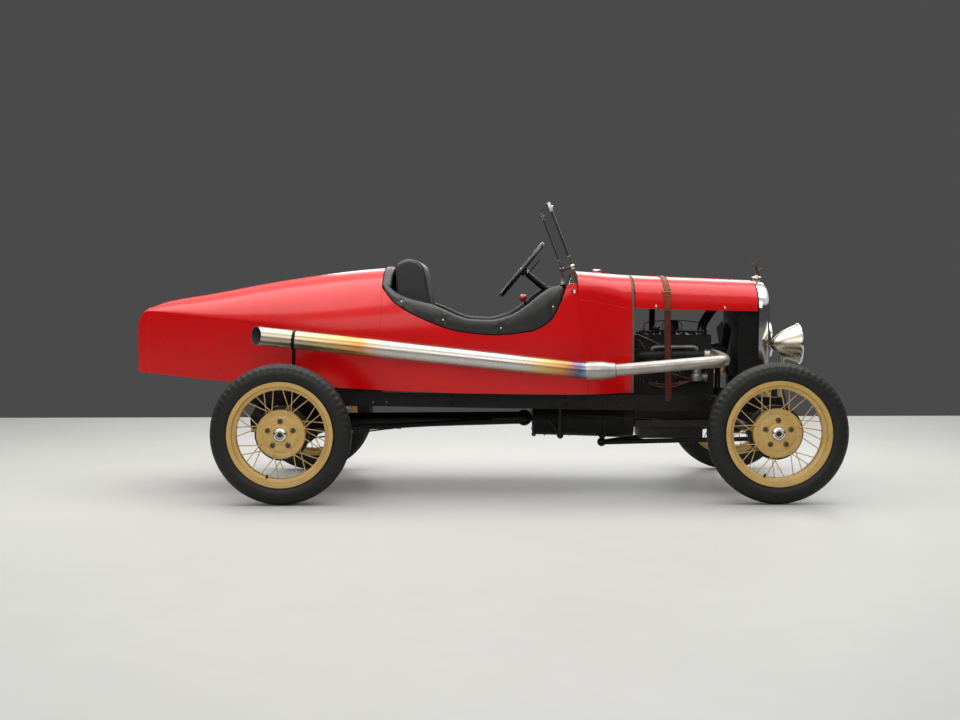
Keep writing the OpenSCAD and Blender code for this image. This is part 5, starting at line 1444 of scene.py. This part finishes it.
# chassis hardware
gearPlan = {"rear": frontX - 1270, "z": 395, "shaftZ": 330, "shaftHalf": 374, "leverY": 160, "hangerY": 366,
            "bolts": 12}
gearFittings = newShape()
for x, r in ((gearPlan["rear"] + 10, 98), (engineRear - 168, 110)):
    addTurned(gearFittings, [(r - 3, -8), (r + 11, -8), (r + 11, 8), (r - 3, 8)], (x, 0, gearPlan["z"]),
              (1, 0, 0), 72, 0, True)
    for k in range(gearPlan["bolts"]):
        t = 2 * math.pi * (k + 0.5) / gearPlan["bolts"]
        addTurned(gearFittings, [(0.02, 14), (5, 14), (6.5, 13), (6.5, 7)],
                  (x, (r + 3) * math.cos(t), gearPlan["z"] + (r + 3) * math.sin(t)), (-1, 0, 0), 6)
for x in spread(gearPlan["rear"] + 70, engineRear - 220, 4):
    addTurned(gearFittings, [(97, -3), (106, -3), (106, 3), (97, 3)], (x, 0, gearPlan["z"]), (1, 0, 0), 72,
              0, True)
shaftX, shaftZ = gearPlan["rear"] + 140, gearPlan["shaftZ"]
addTube(gearFittings, [(shaftX, -gearPlan["shaftHalf"], shaftZ), (shaftX, gearPlan["shaftHalf"], shaftZ)],
        10, 20)
for side in (-1, 1):
    leverY, hangerY = side * gearPlan["leverY"], side * gearPlan["hangerY"]
    for y in (leverY, hangerY):
        addTurned(gearFittings, [(10, -13), (18, -12), (18, 12), (10, 13)], (shaftX, y, shaftZ), (0, 1, 0),
                  28)
    addTube(gearFittings, [(shaftX, leverY, shaftZ), (shaftX - 50, leverY, 402)], [10, 6], 12)
    addTube(gearFittings, [(shaftX, leverY, shaftZ), (shaftX + 14, leverY, 290)], [10, 7], 12)
    addTube(gearFittings, [(shaftX, hangerY, shaftZ), (shaftX, hangerY, railZ(shaftX) - 60)], 9, 12)
makePiece("gearFittings", gearFittings, "chassis", ["chassisBlack"], (), 35)

rodPlan = {"radius": 4.2, "rivetY": 380, "rivetDrop": (20, 62),
           "rivetX": [frontX + 60, frontX - 20, frontX - 300, frontX - 520, frontX - 800, frontX - 1100,
                      rearX + 900, rearX + 250, rearX - 60, rearX - 150]}
rods = newShape()
for side in (1, -1):
    addTube(rods, [(frontX - 1180, side * 160, 402), (rearX + 600, side * 330, 372),
                   (rearX + 150, side * 545, 338), (rearX + 60, side * 590, 330)], rodPlan["radius"], 10)
    addTube(rods, [(frontX - 1080, side * 190, 430), (frontX - 600, side * 330, 418),
                   (frontX - 150, side * 452, 352), (frontX - 30, side * 470, 340)], rodPlan["radius"], 10)
    for x, y, z in ((rearX + 600, 330, 372), (frontX - 600, 330, 418)):
        addTurned(rods, [(4, -16), (8, -14), (8, 14), (4, 16)], (x, side * y, z), (1, 0, 0), 16)
# rivets along the rails
for side in (1, -1):
    for x in rodPlan["rivetX"]:
        for dz in rodPlan["rivetDrop"]:
            addTurned(rods, [(0.02, 6), (4, 5.4), (7, 2.5), (8, 0)],
                      (x, side * rodPlan["rivetY"], railZ(x) - dz), (0, side, 0), 14)
for side in (1, -1):
    for x in (frontX - 27, frontX + 27):
        addTube(rods, [(x, side * 60, 430), (x, side * 60, 500)], 6, 10)
makePiece("brakeRods", rods, "chassis", ["chassisBlack"], (), 40)

studPlan = {"x": (718, 1107), "above": 14}
for side, word in ((1, "left"), (-1, "right")):
    studs = newShape()
    for x in studPlan["x"]:
        z = line("shoulder", x) + studPlan["above"]
        y = sideY(x, z)
        addTurned(studs, [(0.02, 6), (4, 5.4), (6.4, 3), (7, 0), (9, -0.4)], (x, side * y, z),
                  (0, side, 0), 20)
    makePiece("hoodStuds_" + word, studs, "hood_" + word, ["chromePlate"])

fillerPlan = {"x": frontX - 896}
filler = newShape()
fillerX, fillerZ = fillerPlan["x"], line("crown", fillerPlan["x"])
addTurned(filler, [(27, 0), (25, 3), (23.5, 6), (23, 9)], (fillerX, 0, fillerZ - 1), (0, 0, 1), 48, 1)
addTurned(filler, [(23, 8), (27, 8.6), (28, 11), (28, 17), (26, 20), (16, 21.6), (8, 22), (0.02, 22)],
          (fillerX, 0, fillerZ), (0, 0, 1), 36, 0)
makePiece("fillerCap", filler, "chassis", ["chromePlate", "redPaint"], ["fuel_cap"], 40)

badgePlan = {"x": 240, "bar": 10, "bars": 3, "top": 1136, "low": 1118, "lift": (0.4, 2.0)}
badge = newShape()
zTop, zLow = badgePlan["top"], badgePlan["low"]
for k in range(badgePlan["bars"]):
    x0 = badgePlan["x"] + k * badgePlan["bar"]
    x1 = x0 + badgePlan["bar"]
    corners = [(x, -(sideY(x, z) + lift), z) for lift in badgePlan["lift"] for x, z in
               ((x0, zLow), (x1, zLow), (x1, zTop), (x0, zTop))]
    addFaces(badge, corners, [(0, 3, 2, 1), (4, 5, 6, 7), (0, 1, 5, 4), (1, 2, 6, 5), (2, 3, 7, 6),
                              (3, 0, 4, 7)], k)
makePiece("stripeBadge", badge, "chassis", ["wheelRimBlack", "badgeEnamel", "redPaint"], (), 30,
          0.3)

dash = newShape()
edge = [arch(dashX, a, 16) for a in spread(2, 178, 60)]
addLoft(dash, [[(dashX - d, y, z) for _, y, z in edge] for d in (0.4, 3.4)])
makePiece("dashPanel", dash, "chassis", ["trimCard"], (), 35, 0.8)
dialPlan = {"z": 1160, "spots": ((0, 46), (-120, 32), (110, 32), (-205, 24))}
dialZ = dialPlan["z"]
dials = newShape()
for y, r in dialPlan["spots"]:
    spot = (dashX - 3, y, dialZ)
    addTurned(dials, [(r, 0), (r, 6), (r - 2, 9), (r - 5, 9), (r - 7, 6)], spot, (-1, 0, 0), 48, 0)
    addTurned(dials, [(r - 6, 5.5), (0.02, 5.5)], spot, (-1, 0, 0), 48, 1)
    addTube(dials, [(dashX - 9.4, y, dialZ), (dashX - 9.4, y + r * 0.45, dialZ + r * 0.5)], [1.6, 0.6], 6, 2)
makePiece("dashDials", dials, "chassis", ["chromePlate", "badgeEnamel", "wheelRimBlack"], (), 30)

knobPlan = {"at": (frontX - 1324, -20, 1092)}
knob = newShape()
addTurned(knob, [(0.02, 22.6), (9, 21), (16, 16.5), (21, 9), (22.4, 0), (21, -9), (16, -16.5), (9, -21),
                 (6.8, -25)], knobPlan["at"], (0, 0, 1), 40)
makePiece("gearKnob", knob, "chassis", ["knobRed"])

# the clips at the two ends of the water hose
hose = newShape()
hoseEnds = [((engineFront - 46, 0, headTop + 14), (0, 0, 1)), ((frontX - 118 - 30, 0, 1077), (1, 0, 0.1))]
for at, aim in hoseEnds:
    for w in (-7, 7):
        addTurned(hose, [(26.2, w - 4), (27.6, w - 4), (27.6, w + 4), (26.2, w + 4)], at, aim, 40, 0, True)
makePiece("hoseClips", hose, "chassis", ["nickelPlate"])
print("hardware built")

# CAD parts that keep their shape and take a finish
keptLooks = {
    "chassisBlack": ["knuckle_left", "knuckle_right", "tie_rod", "drag_link", "pitman_arm", "steering_column",
                     "front_axle", "front_spring", "front_radius_rods", "frame_rails", "crossmembers",
                     "rear_axle", "rear_spring", "fan"],
    "engineGrey": ["engine_block"],
    "gearCase": ["gearbox"],
    "coreFins": ["radiator"],
    "nickelPlate": ["windscreen_posts"],
    "redPaint": ["hood_hinge"],
    "firewallBrown": ["firewall"],
    "floorBoards": ["floor"],
    "screenGlass": ["windscreen_glass"],
}
for look, names in keptLooks.items():
    for name in names:
        part = nodes[name]
        part.data.materials.clear()
        part.data.materials.append(made[look])
        part.data.shade_smooth()
        part.data.set_sharp_from_angle(angle=math.radians(32))

# floor, lights and world
floorMesh = bpy.data.meshes.new("studioFloor")
floorPlan = {"side": 14.0, "near": -14.0, "wall": 4.3, "tone": linear(200, 200, 196),
             "drift": linear(194, 194, 190)}
wide, near, far = floorPlan["side"], floorPlan["near"], floorPlan["wall"]
floorMesh.from_pydata([(-wide, near, 0), (wide, near, 0), (wide, far, 0), (-wide, far, 0)], [],
                      [(0, 1, 2, 3)])
studioFloor = bpy.data.objects.new("studioFloor", floorMesh)
bpy.context.scene.collection.objects.link(studioFloor)
floorLook = bpy.data.materials.new("studioFloorPaint")
floorLook.use_nodes = True
floorTree = floorLook.node_tree
floorShader = floorTree.nodes["Principled BSDF"]
floorShader.inputs["Roughness"].default_value = 0.55
stagePlan = {"wall": linear(74, 74, 75), "sky": linear(228, 228, 224)}


def seenDirectly(tree):
    rays = tree.nodes.new("ShaderNodeLightPath")
    first = mathNode(tree, "MAXIMUM", rays.outputs["Is Camera Ray"], rays.outputs["Is Glossy Ray"])
    return mathNode(tree, "MAXIMUM", first, rays.outputs["Is Transmission Ray"])


floorTone = place(floorTree, "toneDrift", floorTree.nodes.new("ShaderNodeTexCoord").outputs["Object"],
                  Scale=0.6)
floorTree.links.new(colourMix(floorTree, floorTone.outputs["Tone"], floorPlan["tone"], floorPlan["drift"]),
                    floorShader.inputs["Base Color"])
floorMesh.materials.append(floorLook)

lamps = [
    {"name": "ceiling", "at": (0.0, 0.0, 4.6), "size": (9.0, 5.0), "power": 400},
    {"name": "front", "at": (-1.0, -6.5, 3.6), "size": (8.0, 3.4), "power": 140},
    {"name": "back", "at": (1.0, 6.5, 3.4), "size": (6.0, 2.0), "power": 120},
]
for spec in lamps:
    data = bpy.data.lights.new(spec["name"], "AREA")
    data.shape = "RECTANGLE"
    data.size, data.size_y = spec["size"]
    data.energy = spec["power"]
    lamp = bpy.data.objects.new(spec["name"], data)
    lamp.location = spec["at"]
    lamp.rotation_euler = (Vector((0, 0, 0.6)) - Vector(spec["at"])).to_track_quat("-Z", "Y").to_euler()
    bpy.context.scene.collection.objects.link(lamp)

world = bpy.data.worlds.new("studio")
world.use_nodes = True
bpy.context.scene.world = world
worldTree = world.node_tree
roomLight = worldTree.nodes["Background"]
roomLight.inputs["Color"].default_value = (0.6, 0.6, 0.6, 1)
roomLight.inputs["Strength"].default_value = 0.42
lookUp = worldTree.nodes.new("ShaderNodeSeparateXYZ")
worldTree.links.new(worldTree.nodes.new("ShaderNodeTexCoord").outputs["Generated"], lookUp.inputs[0])
wallTop = worldTree.nodes.new("ShaderNodeMapRange")
wallTop.interpolation_type = "SMOOTHSTEP"
wallTop.inputs["From Min"].default_value = 0.22
wallTop.inputs["From Max"].default_value = 0.42
worldTree.links.new(lookUp.outputs["Z"], wallTop.inputs["Value"])
seenTone = worldTree.nodes.new("ShaderNodeBackground")
worldTree.links.new(colourMix(worldTree, wallTop.outputs["Result"], stagePlan["wall"], stagePlan["sky"]),
                    seenTone.inputs["Color"])
pickTone = worldTree.nodes.new("ShaderNodeMixShader")
worldTree.links.new(seenDirectly(worldTree), pickTone.inputs[0])
worldTree.links.new(roomLight.outputs[0], pickTone.inputs[1])
worldTree.links.new(seenTone.outputs[0], pickTone.inputs[2])
worldTree.links.new(pickTone.outputs[0], worldTree.nodes["World Output"].inputs["Surface"])
bpy.context.scene.view_settings.view_transform = "Standard"
print("stage built")
